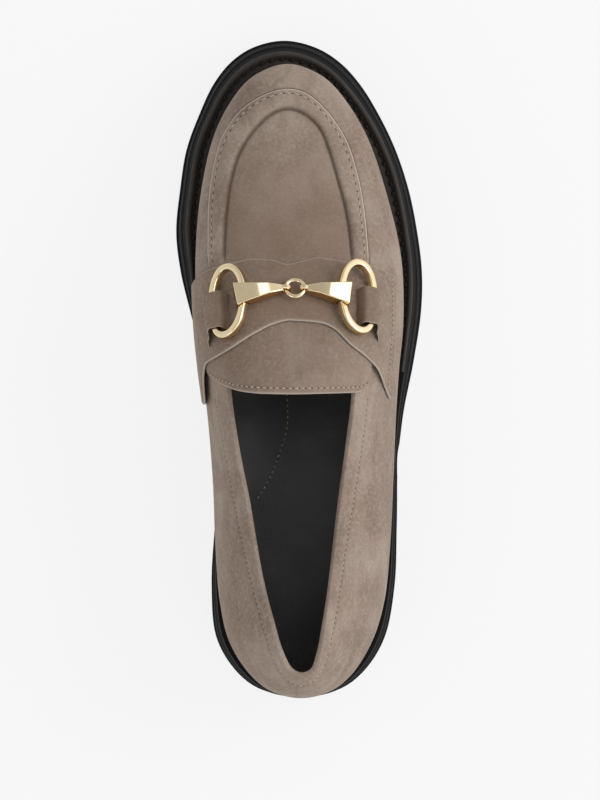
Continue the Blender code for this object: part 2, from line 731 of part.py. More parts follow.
def saddle_offset(along, share):
    """How far the saddle's underside stands off the last."""
    return LEATHER_GAP + (TONGUE_THICKNESS + LEATHER_GAP) * tongue_lift(along, share)


def overlay(name, table, columns, rows, offset, thickness, colour):
    """A leather piece that lies on the last, between its front and rear edges."""
    skin = Skin()
    grid = []
    places = []
    for share in columns:
        front = read_table(table, "reach", "front", share)
        rear = read_table(table, "reach", "rear", share)
        places.append([(front + (rear - front) * k / rows, share) for k in range(rows + 1)])
        grid.append(skin.add(last_point(*place) for place in places[-1]))
    for low, high in zip(grid, grid[1:]):
        skin.band(low, high, closed=False)
    base = np.array(skin.points)
    flat = [place for column in places for place in column]
    normals = np.array([last_normal(*place) for place in flat])
    under = np.array([offset(*place) for place in flat])[:, None]
    outer = base + normals * (under + thickness)
    inner = base + normals * under
    points, faces = close_sheet(outer, inner, skin.faces)
    return make_object(name, points, faces, colour, 0.9)


def make_tongue():
    columns = (-0.88, -0.85, -0.79, -0.72, -0.63, -0.54, -0.42, -0.3, -0.15, 0.0)
    columns += (0.17, 0.34, 0.44, 0.52, 0.585, 0.63, 0.667, 0.70)
    return overlay("tongue", TONGUE_TABLE, columns, 8, lambda *place: LEATHER_GAP, TONGUE_THICKNESS, SUEDE)


def make_saddle():
    columns = [row.reach for row in SADDLE_TABLE]
    columns = sorted(columns + [-0.98, -0.80, -0.66, -0.47, -0.25, 0.18, 0.43, 0.57, 0.68, 0.71, 0.775, 0.80])
    return overlay("saddle", SADDLE_TABLE, columns, 7, saddle_offset, SADDLE_THICKNESS, SUEDE_DARK)


def saddle_frame(place, lift, lean=0.0):
    """Origin, across, ahead and normal of a flat frame that stands off the saddle's outer face."""
    x = place.across * SOLE_WIDTH
    share = share_at(x, place.along)
    height = saddle_offset(place.along, share) + SADDLE_THICKNESS + lift
    origin = last_point(place.along, share) + last_normal(place.along, share) * height
    normal = last_normal(place.along, share + lean)
    ahead = np.array((0.0, normal[2], -normal[1]))
    ahead /= np.linalg.norm(ahead)
    return origin, np.cross(ahead, normal), ahead, normal


def share_at(x, along):
    """The share of the way out at which a plan distance lies."""
    offset = x - spine_x(along)
    side = 1.0 if offset >= 0 else -1.0
    return offset / reach(EDGE_CURVE, (spine_x(along), y_of(along)), (side, 0.0))


def sweep(skin, centres, normals, section, closed=True):
    """A tube round a path. The section's points are (sideways, up) from each centre."""
    count = len(centres)
    rows = []
    for k in range(count):
        after = centres[(k + 1) % count] if closed or k < count - 1 else centres[k]
        before = centres[k - 1] if closed or k else centres[k]
        tangent = (after - before) / np.linalg.norm(after - before)
        sideways = np.cross(tangent, normals[k])
        rows.append(skin.add(centres[k] + sideways * a + normals[k] * b for a, b in section))
    for low, high in zip(rows, rows[1:]):
        skin.band(low, high)
    if closed:
        skin.band(rows[-1], rows[0])
    else:
        skin.face(rows[0])
        skin.face(rows[-1])


def soft_square(width, depth):
    """An eight-cornered section, a square with its corners cut."""
    a, b, c, d = width / 2, depth / 2, width * 0.28, depth * 0.28
    return [(a, -d), (a, d), (c, b), (-c, b), (-a, d), (-a, -d), (-c, -b), (c, -b)]


def ring_point(frame, side, turn):
    """A point of a cheek ring's centre line, a rounded long oval that is fuller towards the bar."""
    origin, across, ahead, _ = frame
    half = RING_HALF_ACROSS * (1 + RING_SWELL * max(-side * math.cos(turn), 0.0))
    sideways = half * math.copysign(abs(math.cos(turn)) ** 0.88, math.cos(turn))
    along = RING_HALF_ALONG * math.copysign(abs(math.sin(turn)) ** 0.88, math.sin(turn))
    return origin + across * sideways + ahead * along


def make_cheek_ring(name, frame, side, grow=0.0, helper=False):
    steps = 32
    skin = Skin()
    centres = [ring_point(frame, side, 2 * math.pi * k / steps) for k in range(steps)]
    section = soft_square(RING_WIRE_WIDTH + 2 * grow, RING_WIRE_DEPTH + 2 * grow)
    sweep(skin, centres, [frame[3]] * steps, section)
    return make_object(name, skin.points, skin.faces, GILT, 0.25, 1.0, helper)


def make_centre_ring(name, frame, wire, helper=False):
    """The small ring that joins the two bars."""
    steps = 24
    origin, across, ahead, normal = frame
    turns = [2 * math.pi * k / steps for k in range(steps)]
    centres = [origin + (across * math.cos(t) + ahead * math.sin(t)) * CENTRE_RING_RADIUS for t in turns]
    section = [(wire * math.cos(math.pi * k / 4), wire * math.sin(math.pi * k / 4)) for k in range(8)]
    skin = Skin()
    sweep(skin, centres, [normal] * steps, section)
    return make_object(name, skin.points, skin.faces, GILT, 0.25, 1.0, helper)


def make_bar(side_name, ring_frame, centre_frame, side, turn):
    """A wedge bar. Its broad end holds the cheek ring's inner leg, its narrow end the centre ring."""
    origin, across, ahead, normal = centre_frame
    eye = origin + across * side * CENTRE_RING_RADIUS
    leg = ring_point(ring_frame, side, math.radians(turn if side < 0 else 180 - turn))
    line = (leg - eye) / np.linalg.norm(leg - eye)
    end = leg + line * BAR_OVERHANG
    start = eye + line * EYE_RADIUS * 0.6
    wide_ahead = ring_frame[2]
    skin = Skin()
    rows = []
    for share, deepened in ((0.0, 0.0), (BAR_SWELL, 0.95), (1.0, 1.0)):
        width = BAR_NARROW + (BAR_WIDE - BAR_NARROW) * share
        depth = BAR_NARROW_DEPTH + (BAR_WIDE_DEPTH - BAR_NARROW_DEPTH) * deepened
        centre = start + (end - start) * share
        forward = ahead * (1 - share) + wide_ahead * share
        forward -= line * forward.dot(line)
        forward /= np.linalg.norm(forward)
        up = np.cross(line, forward) * -side
        rows.append(skin.add(centre + forward * a + up * b for a, b in soft_bar(width, depth)))
    for low, high in zip(rows, rows[1:]):
        skin.band(low, high)
    skin.face(rows[0])
    skin.face(rows[-1])
    bar = make_object("bit_bar_" + side_name, skin.points, skin.faces, GILT, 0.25, 1.0)
    eye_disc = make_eye("eye_" + side_name, eye, across, ahead, normal)
    cut_with(bar, eye_disc, "UNION")
    cut_with(bar, make_cheek_ring("leg_hole_" + side_name, ring_frame, side, WIRE_GAP, True))
    hole = CENTRE_RING_WIRE + EYE_PLAY
    cut_with(bar, make_centre_ring("eye_hole_" + side_name, centre_frame, hole, True))
    return bar


def soft_bar(width, depth):
    """A bar's section: flat on top, with its upper corners lightly cut."""
    a, b = width / 2, depth / 2
    c = depth * 0.12
    return [(a, -b), (a, b - c), (a - c, b), (c - a, b), (-a, b - c), (-a, -b)]


def make_eye(name, centre, across, ahead, normal):
    """The disc that becomes the eye at a bar's narrow end, with its axis along the wire."""
    count = 16
    rows = []
    skin = Skin()
    for place in (-EYE_WIDTH / 2, EYE_WIDTH / 2):
        row = []
        for k in range(count):
            turn = 2 * math.pi * (k + 0.5) / count
            row.append(
                centre + ahead * place + (across * math.cos(turn) + normal * math.sin(turn)) * EYE_RADIUS
            )
        rows.append(skin.add(row))
    skin.band(*rows)
    skin.face(rows[0])
    skin.face(rows[1])
    return make_object(name, skin.points, skin.faces, GILT, 0.25, 1.0, True)


def make_keeper(name, frame, side, saddle):
    """The suede loop that holds a cheek ring's outer leg down on the saddle."""
    origin, across, ahead, normal = frame
    outward = across * side
    leg = origin + outward * RING_HALF_ACROSS
    stations = 9
    skin = Skin()
    outer_rows, inner_rows = [], []
    for k in range(stations):
        share = k / (stations - 1)
        place = leg + ahead * (KEEPER_AHEAD - KEEPER_LENGTH * share)
        drop = smooth(share, 0.55, 1.0)
        point = ahead * -KEEPER_POINT * share * share
        outer_rows.append(keeper_arch(place, outward, point, normal, KEEPER_THICKNESS, drop, saddle))
        inner_rows.append(keeper_arch(place, outward, point, normal, 0.0, drop, saddle))
    rows = [skin.add(row) for row in outer_rows]
    for low, high in zip(rows, rows[1:]):
        skin.band(low, high, closed=False)
    inner = [point for row in inner_rows for point in row]
    points, faces = close_sheet(skin.points, inner, skin.faces)
    return make_object(name, points, faces, SUEDE_DARK, 0.9)


def keeper_arch(leg, outward, point, normal, thickness, drop, saddle):
    """One arch over the leg, both feet on the saddle. Its outer side reaches further back and drops."""
    top = RING_WIRE_DEPTH / 2 + WIRE_GAP
    near, far = KEEPER_HALF_INWARD, KEEPER_HALF_OUTWARD
    taper = 1 - 0.45 * drop
    crest, shoulder = top + thickness * taper, top * 0.92 + thickness * 0.5 * taper
    outline = [(-near - thickness, -0.2 * top), (-near * 0.95 - thickness * 0.6, shoulder)]
    outline += [(-near * 0.55, crest), (0.0, crest), (far * 0.5, crest - 0.25 * top * drop)]
    outline += [(far * 0.95 + thickness * 0.6, shoulder - 0.75 * top * drop), (far + thickness, -0.2 * top)]
    foot = KEEPER_FOOT + thickness * 0.2
    points = [foot_point(leg - outward * (near + foot), normal, saddle)]
    for sideways, up in outline:
        points.append(leg + outward * sideways + normal * up + point * max(sideways / far, 0.0) * 0.5)
    points.append(foot_point(leg + outward * (far + foot) + point, normal, saddle))
    return points


def foot_point(point, normal, saddle):
    """The point moved along the normal until it is just off the saddle."""
    start = point + normal * KEEPER_SEARCH
    hit = saddle.ray_cast(Vector(start), Vector(-normal), 3 * KEEPER_SEARCH)[0]
    if hit is None:
        return point - normal * RING_WIRE_DEPTH / 2
    return np.array(hit) + normal * KEEPER_GAP


def surface_of(item):
    """The faces of an object, for finding where a line meets them."""
    points = [vertex.co.copy() for vertex in item.data.vertices]
    return BVHTree.FromPolygons(points, [tuple(face.vertices) for face in item.data.polygons])


def make_bit(saddle):
    """The bit: two cheek rings, two wedge bars and a centre ring, with a keeper over each outer leg."""
    centre_frame = saddle_frame(CENTRE_RING_PLACE, CENTRE_RING_LIFT)
    make_centre_ring("bit_centre_ring", centre_frame, CENTRE_RING_WIRE)
    for name, place, side in (("inner", INNER_RING_PLACE, -1), ("outer", OUTER_RING_PLACE, 1)):
        frame = saddle_frame(place, CHEEK_RING_LIFT, side * CHEEK_RING_LEAN)
        make_cheek_ring("bit_ring_" + name, frame, side)
        make_bar(name, frame, centre_frame, side, place.bar_turn)
        make_keeper("keeper_" + name, frame, side, surface_of(saddle))


def main():
    for item in list(bpy.data.objects):
        bpy.data.objects.remove(item)
    make_outsole()
    make_welt()
    make_insole()
    make_upper()
    make_tongue()
    make_bit(make_saddle())


main()
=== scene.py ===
"""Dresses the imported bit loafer: suede upper, saddle strap, gilt bit, stitched welt and lug sole.

Metres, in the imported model's frame: +Y to the toe, +X to the outer side, +Z up. Each piece is made again on
the same last at a finer step, with its seams, raw edges, stitches and nap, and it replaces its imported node.
"""

import logging
import math
from dataclasses import dataclass
from enum import Enum
from typing import Callable, ClassVar, Sequence

import bmesh
import bpy
import numpy as np
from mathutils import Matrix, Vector
from mathutils.bvhtree import BVHTree


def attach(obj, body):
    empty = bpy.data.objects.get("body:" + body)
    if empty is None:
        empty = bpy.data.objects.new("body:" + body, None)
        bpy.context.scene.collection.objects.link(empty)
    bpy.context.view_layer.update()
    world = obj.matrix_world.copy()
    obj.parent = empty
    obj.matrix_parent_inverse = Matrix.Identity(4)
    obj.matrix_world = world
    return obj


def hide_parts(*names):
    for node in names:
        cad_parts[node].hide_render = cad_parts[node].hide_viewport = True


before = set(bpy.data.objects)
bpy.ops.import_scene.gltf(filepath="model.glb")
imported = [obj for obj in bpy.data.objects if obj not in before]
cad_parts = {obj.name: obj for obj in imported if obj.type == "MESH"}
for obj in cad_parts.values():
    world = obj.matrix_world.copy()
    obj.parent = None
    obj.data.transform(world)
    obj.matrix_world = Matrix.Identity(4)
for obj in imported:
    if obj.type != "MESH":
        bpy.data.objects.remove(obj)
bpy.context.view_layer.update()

LOG = logging.getLogger("loafer")
Array = np.ndarray
Colour = tuple[float, float, float]
SHOE = "shoe"
BIT_RING = "bit_ring"


@dataclass(frozen=True)
class Sizes:
    """The shoe's sizes in metres, the same as its construction has."""

    sole_length: float = 0.271
    sole_width: float = 0.102
    sole_thickness: float = 0.0250
    heel_raise: float = 0.0120
    arch_lift: float = 0.0110
    toe_spring: float = 0.0070
    side_flare: float = 0.0034
    toe_flare: float = 0.0020
    flare_ledge: float = 0.0075
    side_step: float = 0.0009
    instep_height: float = 0.0980
    collar_height: float = 0.0575
    widest_rise: float = 0.0150
    wall: float = 0.0020
    tuck: float = 0.0022
    apron_band: float = 0.0014
    gap: float = 0.0003
    leather_gap: float = 0.0004
    tongue_thickness: float = 0.0014
    saddle_thickness: float = 0.0013
    insole_thickness: float = 0.0035
    arch_pad: float = 0.0035


@dataclass(frozen=True)
class Places:
    """Places on the last, as shares of the length from the heel, or of the width."""

    toe_centre: tuple[float, float] = (0.80, -0.055)
    heel_centre: tuple[float, float] = (0.19, -0.010)
    throat_share: float = 6 / 16
    front_end_of_collar: float = 0.46
    breast: float = 0.262
    arch_end: float = 0.545


SIZES = Sizes()
PLACES = Places()


class Table:
    """Named columns of shares, read on a smooth curve that never overshoots its rows."""

    def __init__(self, names: str, rows: Sequence[Sequence[float]]) -> None:
        """Keeps the rows by column.

        Args:
            names: The columns' names, the key column first.
            rows: One row for each section, in the key's order.
        """
        values = np.array(rows, float).T
        self.keys = values[0]
        self.columns = dict(zip(names.split()[1:], values[1:]))

    def read(self, name: str, place: Array) -> Array:
        """Reads a column.

        Args:
            name: The column.
            place: Places along the key column.

        Returns:
            The column's values at those places.
        """
        values, spans = self.columns[name], np.diff(self.keys)
        slopes = np.diff(values) / spans
        product = slopes[:-1] * slopes[1:]
        total = np.where(product > 0, slopes[:-1] + slopes[1:], 1.0)
        inner = np.where(product > 0, 2 * product / total, 0.0)
        slope = np.concatenate([slopes[:1], inner, slopes[-1:]])
        place = np.clip(place, self.keys[0], self.keys[-1])
        i = np.clip(np.searchsorted(self.keys, place, side="right") - 1, 0, len(spans) - 1)
        t = (place - self.keys[i]) / spans[i]
        ends = values[i] * (1 + 2 * t) * (1 - t) ** 2 + values[i + 1] * t * t * (3 - 2 * t)
        return ends + spans[i] * (slope[i] * t * (1 - t) ** 2 - slope[i + 1] * t * t * (1 - t))


SOLE_OUTLINE = Table("along inner outer", (
    (0.000, -0.010, 0.010), (0.012, 0.162, 0.169), (0.040, 0.258, 0.266), (0.090, 0.335, 0.347),
    (0.170, 0.355, 0.388), (0.260, 0.342, 0.397), (0.350, 0.322, 0.402), (0.430, 0.334, 0.423),
    (0.510, 0.386, 0.465), (0.590, 0.444, 0.497), (0.650, 0.482, 0.500), (0.710, 0.500, 0.481),
    (0.775, 0.484, 0.446), (0.835, 0.458, 0.393), (0.890, 0.404, 0.322), (0.935, 0.346, 0.246),
    (0.968, 0.275, 0.163), (0.990, 0.185, 0.065), (1.000, 0.060, -0.060),
))
EDGE_OUTLINE = Table("along inner outer", (
    (0.014, -0.006, 0.006), (0.024, 0.110, 0.124), (0.048, 0.192, 0.206), (0.097, 0.274, 0.287),
    (0.156, 0.311, 0.335), (0.240, 0.329, 0.359), (0.334, 0.340, 0.372), (0.430, 0.362, 0.384),
    (0.500, 0.386, 0.397), (0.570, 0.404, 0.414), (0.663, 0.411, 0.407), (0.753, 0.394, 0.355),
    (0.843, 0.343, 0.275), (0.898, 0.272, 0.190), (0.932, 0.196, 0.108), (0.950, 0.105, 0.015),
    (0.954, 0.045, -0.045),
))
SEAM_OUTLINE = Table("along inner outer", (
    (0.042, -0.008, 0.008), (0.052, 0.048, 0.060), (0.075, 0.088, 0.098), (0.110, 0.122, 0.124),
    (0.170, 0.168, 0.153), (0.240, 0.213, 0.180), (0.320, 0.258, 0.216), (0.400, 0.298, 0.249),
    (0.460, 0.327, 0.266), (0.570, 0.346, 0.276), (0.680, 0.353, 0.266), (0.740, 0.352, 0.251),
    (0.790, 0.337, 0.225), (0.840, 0.302, 0.180), (0.882, 0.226, 0.104), (0.906, 0.125, 0.030),
    (0.913, 0.040, -0.040),
))
RIM_OUTLINE = Table("along inner outer", (
    (0.058, -0.011, 0.011), (0.066, 0.037, 0.059), (0.094, 0.077, 0.085), (0.141, 0.110, 0.104),
    (0.200, 0.150, 0.125), (0.308, 0.203, 0.161), (0.385, 0.245, 0.191), (0.463, 0.274, 0.215),
    (0.570, 0.283, 0.212), (0.680, 0.287, 0.199), (0.730, 0.281, 0.181), (0.775, 0.264, 0.151),
    (0.816, 0.232, 0.120), (0.853, 0.169, 0.080), (0.876, 0.100, 0.014), (0.882, 0.043, -0.043),
))
FLOOR_LINE = Table("along heel spring", (
    (0.00, 1.00, 0.00), (0.18, 0.98, 0.00), (0.30, 0.86, 0.00), (0.42, 0.56, 0.00), (0.54, 0.20, 0.00),
    (0.66, 0.00, 0.00), (0.78, 0.00, 0.02), (0.88, 0.00, 0.34), (0.96, 0.00, 0.80), (1.00, 0.00, 1.00),
))
ARCH_LINE = Table("along lift", (
    (0.262, 0.80), (0.300, 0.96), (0.360, 1.00), (0.430, 0.74), (0.500, 0.28), (0.545, 0.00),
))
FORM_TABLE = Table("along widest crown collar full_inner full_outer", (
    (0.014, 1.00, 1.00, 1.000, 2.05, 2.05), (0.100, 1.00, 1.00, 0.972, 1.85, 1.85),
    (0.190, 0.95, 1.00, 0.905, 1.70, 1.68), (0.310, 0.82, 1.00, 0.822, 1.68, 1.60),
    (0.380, 0.75, 1.00, 0.800, 1.75, 1.60), (0.460, 0.70, 1.00, 0.835, 2.00, 1.75),
    (0.500, 0.70, 0.960, 0.857, 2.40, 1.95), (0.575, 0.70, 0.880, 0.900, 2.80, 2.20),
    (0.650, 0.66, 0.778, 0.900, 2.70, 2.25), (0.700, 0.62, 0.702, 0.900, 2.55, 2.25),
    (0.750, 0.60, 0.646, 0.900, 2.45, 2.30), (0.800, 0.58, 0.604, 0.900, 2.45, 2.40),
    (0.850, 0.58, 0.570, 0.900, 2.50, 2.50), (0.900, 0.58, 0.542, 0.900, 2.50, 2.50),
    (0.960, 0.58, 0.515, 0.900, 2.50, 2.50),
))
SADDLE_TABLE = Table("reach front rear", (
    (-1.35, 0.612, 0.470), (-1.15, 0.620, 0.455), (-1.00, 0.626, 0.447), (-0.93, 0.632, 0.452),
    (-0.89, 0.635, 0.490), (-0.85, 0.638, 0.506), (-0.74, 0.643, 0.514), (-0.58, 0.649, 0.525),
    (-0.35, 0.655, 0.5445), (-0.15, 0.653, 0.5585), (0.00, 0.647, 0.5635), (0.11, 0.651, 0.5625),
    (0.26, 0.657, 0.5595), (0.36, 0.655, 0.552), (0.50, 0.651, 0.5295), (0.63, 0.648, 0.514),
    (0.745, 0.643, 0.496), (0.83, 0.637, 0.475), (0.90, 0.630, 0.455),
))
TONGUE_TABLE = Table("reach front rear", (
    (-0.880, 0.575, 0.494), (-0.850, 0.588, 0.486), (-0.720, 0.598, 0.475), (-0.540, 0.603, 0.466),
    (-0.300, 0.605, 0.462), (0.000, 0.606, 0.4615), (0.340, 0.604, 0.463), (0.500, 0.600, 0.464),
    (0.585, 0.596, 0.465), (0.667, 0.588, 0.472), (0.700, 0.575, 0.488),
))


def smooth(value: Array, low: float, high: float) -> Array:
    """A soft ramp from 0 at low to 1 at high, which may lie either way round.

    Args:
        value: The numbers to ramp.
        low: Where the ramp is 0.
        high: Where the ramp is 1.

    Returns:
        The ramp's values.
    """
    t = np.clip((np.asarray(value, float) - low) / (high - low), 0.0, 1.0)
    return t * t * (3 - 2 * t)


def bump_at(value: Array, centre: float, width: float) -> Array:
    """A bell of height 1 round a centre, as wide as the width to each side."""
    return np.exp(-(((value - centre) / width) ** 2))


def y_of(along: Array) -> Array:
    """The y of a share of the sole's length from the heel."""
    return (along - 0.5) * SIZES.sole_length


def along_of(y: Array) -> Array:
    """The share of the sole's length from the heel at a y."""
    return y / SIZES.sole_length + 0.5


def spine_x(along: Array) -> Array:
    """The centre line's x, straight from the heel's centre to the toe's."""
    share = (along - PLACES.heel_centre[0]) / (PLACES.toe_centre[0] - PLACES.heel_centre[0])
    return SIZES.sole_width * (PLACES.heel_centre[1] + share * (PLACES.toe_centre[1] - PLACES.heel_centre[1]))


def spring_height(along: Array) -> Array:
    """The tread's height over the floor, without the arch."""
    return SIZES.toe_spring * FLOOR_LINE.read("spring", along)


def sole_top(along: Array) -> Array:
    """The height of the sole's upper face."""
    return SIZES.sole_thickness + SIZES.heel_raise * FLOOR_LINE.read("heel", along) + spring_height(along)


def unit(vectors: Array) -> Array:
    """Each vector at length 1."""
    return vectors / np.maximum(np.linalg.norm(vectors, axis=-1, keepdims=True), 1e-12)


def with_height(place: Array, height: Array) -> Array:
    """Points in plan with their heights."""
    return np.concatenate([place, height[..., None]], axis=-1)


def eased(count: int, share: float) -> Array:
    """Numbers from 0 to 1, closer together at both ends by a share of a half wave."""
    line = np.linspace(0, 1, count)
    return share * (0.5 - 0.5 * np.cos(math.pi * line)) + (1 - share) * line


def between(place: Array, keys: Array, rows: Array) -> Array:
    """Rows of numbers read in a straight line between their keys."""
    return np.stack([np.interp(place, keys, rows[:, axis]) for axis in range(rows.shape[1])], axis=-1)


def round_turns(count: int, offset: float = 0.0) -> Array:
    """Angles once round, so many, as a column."""
    return 2 * math.pi * (np.arange(count)[:, None] + offset) / count


class Outline:
    """A closed curve in plan through an outline table's rows."""

    STEPS = 24

    def __init__(self, table: Table) -> None:
        """Runs the curve up the outer side, over the toe and down the inner side.

        Args:
            table: The outline's shares.
        """
        outer = np.stack([table.columns["outer"] * SIZES.sole_width, y_of(table.keys)], axis=1)
        inner = np.stack([-table.columns["inner"] * SIZES.sole_width, y_of(table.keys)], axis=1)
        corners = np.concatenate([outer, inner[-2:0:-1]])
        self.points = np.concatenate([self._stretch(corners, i) for i in range(len(corners))])
        self.steps = np.roll(self.points, -1, axis=0) - self.points

    def _stretch(self, corners: Array, i: int) -> Array:
        """The centripetal curve between one corner and the next."""
        a, b, c, d = (corners[(i + k) % len(corners)] for k in (-1, 0, 1, 2))
        ab, bc, cd = (math.sqrt(np.linalg.norm(q - p)) for p, q in ((a, b), (b, c), (c, d)))
        start = ((b - a) / ab - (c - a) / (ab + bc) + (c - b) / bc) * bc
        end = ((c - b) / bc - (d - b) / (bc + cd) + (d - c) / cd) * bc
        t = (np.arange(self.STEPS) / self.STEPS)[:, None]
        ends = b * (1 + 2 * t) * (1 - t) ** 2 + c * t * t * (3 - 2 * t)
        return ends + start * t * (1 - t) ** 2 - end * t * t * (1 - t)

    def reach(self, centres: Array, directions: Array) -> Array:
        """How far it is from each centre to the curve.

        Args:
            centres: Points inside the curve.
            directions: A direction for each.

        Returns:
            The distances.
        """
        start = self.points[None] - centres[:, None]
        cross = directions[:, :1] * self.steps[:, 1] - directions[:, 1:] * self.steps[:, 0]
        cross = np.where(abs(cross) < 1e-12, 1e-12, cross)
        share = (directions[:, 1:] * start[..., 0] - directions[:, :1] * start[..., 1]) / cross
        distance = (start[..., 0] * self.steps[:, 1] - start[..., 1] * self.steps[:, 0]) / cross
        hit = (share >= -1e-9) & (share <= 1 + 1e-9) & (distance > 0)
        return np.where(hit, distance, np.inf).min(axis=1)


class Cuts:
    """Upright cuts through the shoe, each from a centre on the spine outwards."""

    def __init__(self, centres: Array, directions: Array, reaches: dict[str, Array]) -> None:
        """Works out what each cut needs for its heights.

        Args:
            centres: The cuts' centres in plan.
            directions: Their directions in plan.
            reaches: The distance to each outline, by the outline's name.
        """
        self.centres, self.directions = centres, directions
        self.sole, self.edge = reaches["sole"], reaches["edge"]
        self.seam, self.rim = reaches["seam"], reaches["rim"]
        self.along = along_of(centres[:, 1] + directions[:, 1] * self.edge)
        rim_along = along_of(centres[:, 1] + directions[:, 1] * self.rim)
        rise = SIZES.widest_rise * FORM_TABLE.read("widest", self.along)
        self.widest = sole_top(self.along) + SIZES.gap + rise
        outer = (1 + directions[:, 0]) / 2
        inner_full = FORM_TABLE.read("full_inner", self.along)
        self.full = (1 - outer) * inner_full + outer * FORM_TABLE.read("full_outer", self.along)
        throat = PLACES.toe_centre[0] + PLACES.throat_share * (PLACES.heel_centre[0] - PLACES.toe_centre[0])
        self.open = smooth(self.along, throat, PLACES.front_end_of_collar)
        collar = SIZES.sole_thickness + SIZES.heel_raise
        collar = collar + SIZES.collar_height * FORM_TABLE.read("collar", rim_along)
        at_rim = np.maximum(1 - (self.rim / self.edge) ** self.full, 1e-6) ** (1 / self.full)
        self.virtual = self.widest + (collar - self.widest) / at_rim

    def ledge(self) -> Array:
        """How far the sole stands out past the upper, from 0 to 1 for a full ledge."""
        return np.clip((self.sole - self.edge) / SIZES.flare_ledge, 0.0, 1.0)

    def flare(self) -> Array:
        """How much further out the sole's side stands at the floor than at its top, without its step."""
        return SIZES.side_flare * self.ledge() + SIZES.toe_flare * smooth(self.along, 0.84, 0.945)

    def sole_upper_edge(self) -> Array:
        """The distance to the sole's upper edge."""
        return self.sole - SIZES.side_step - self.flare()

    def plan(self, distance: Array) -> Array:
        """Points in plan at distances from the centres, one row for each cut."""
        distance = np.asarray(distance, float)
        extra = (slice(None),) + (None,) * (distance.ndim - 1)
        return self.centres[extra] + self.directions[extra] * distance[..., None]

    def points(self, share: Array, covered: bool = False) -> Array:
        """Points of the last. Past 1 the share runs on down the side wall, to 2 at the feather line.

        Args:
            share: Shares of the way out, one row for each cut.
            covered: Whether the collar is closed over.

        Returns:
            The points.
        """
        share = np.asarray(share, float)
        tail = (slice(None),) + (None,) * (share.ndim - 1)
        edge, full, widest = self.edge[tail], self.full[tail], self.widest[tail]
        top = np.clip(share, 0.0, 1.0)
        y = self.centres[:, 1][tail] + self.directions[:, 1][tail] * top * edge
        crown = SIZES.instep_height * FORM_TABLE.read("crown", along_of(y))
        if not covered:
            crown = (1 - self.open[tail]) * crown + self.open[tail] * self.virtual[tail]
        height = widest + (crown - widest) * np.maximum(1 - top ** full, 0.0) ** (1 / full)
        drop = np.clip(share - 1, 0.0, 1.0)
        tuck = np.maximum(SIZES.tuck, self.edge + SIZES.tuck / 2 - self.sole_upper_edge())[tail]
        place = self.plan(np.where(share > 1, edge - tuck * drop * drop, top * edge))
        bottom = sole_top(along_of(place[..., 1])) + SIZES.gap
        height = np.where(share > 1, widest + (bottom - widest) * drop, height)
        return with_height(place, height)


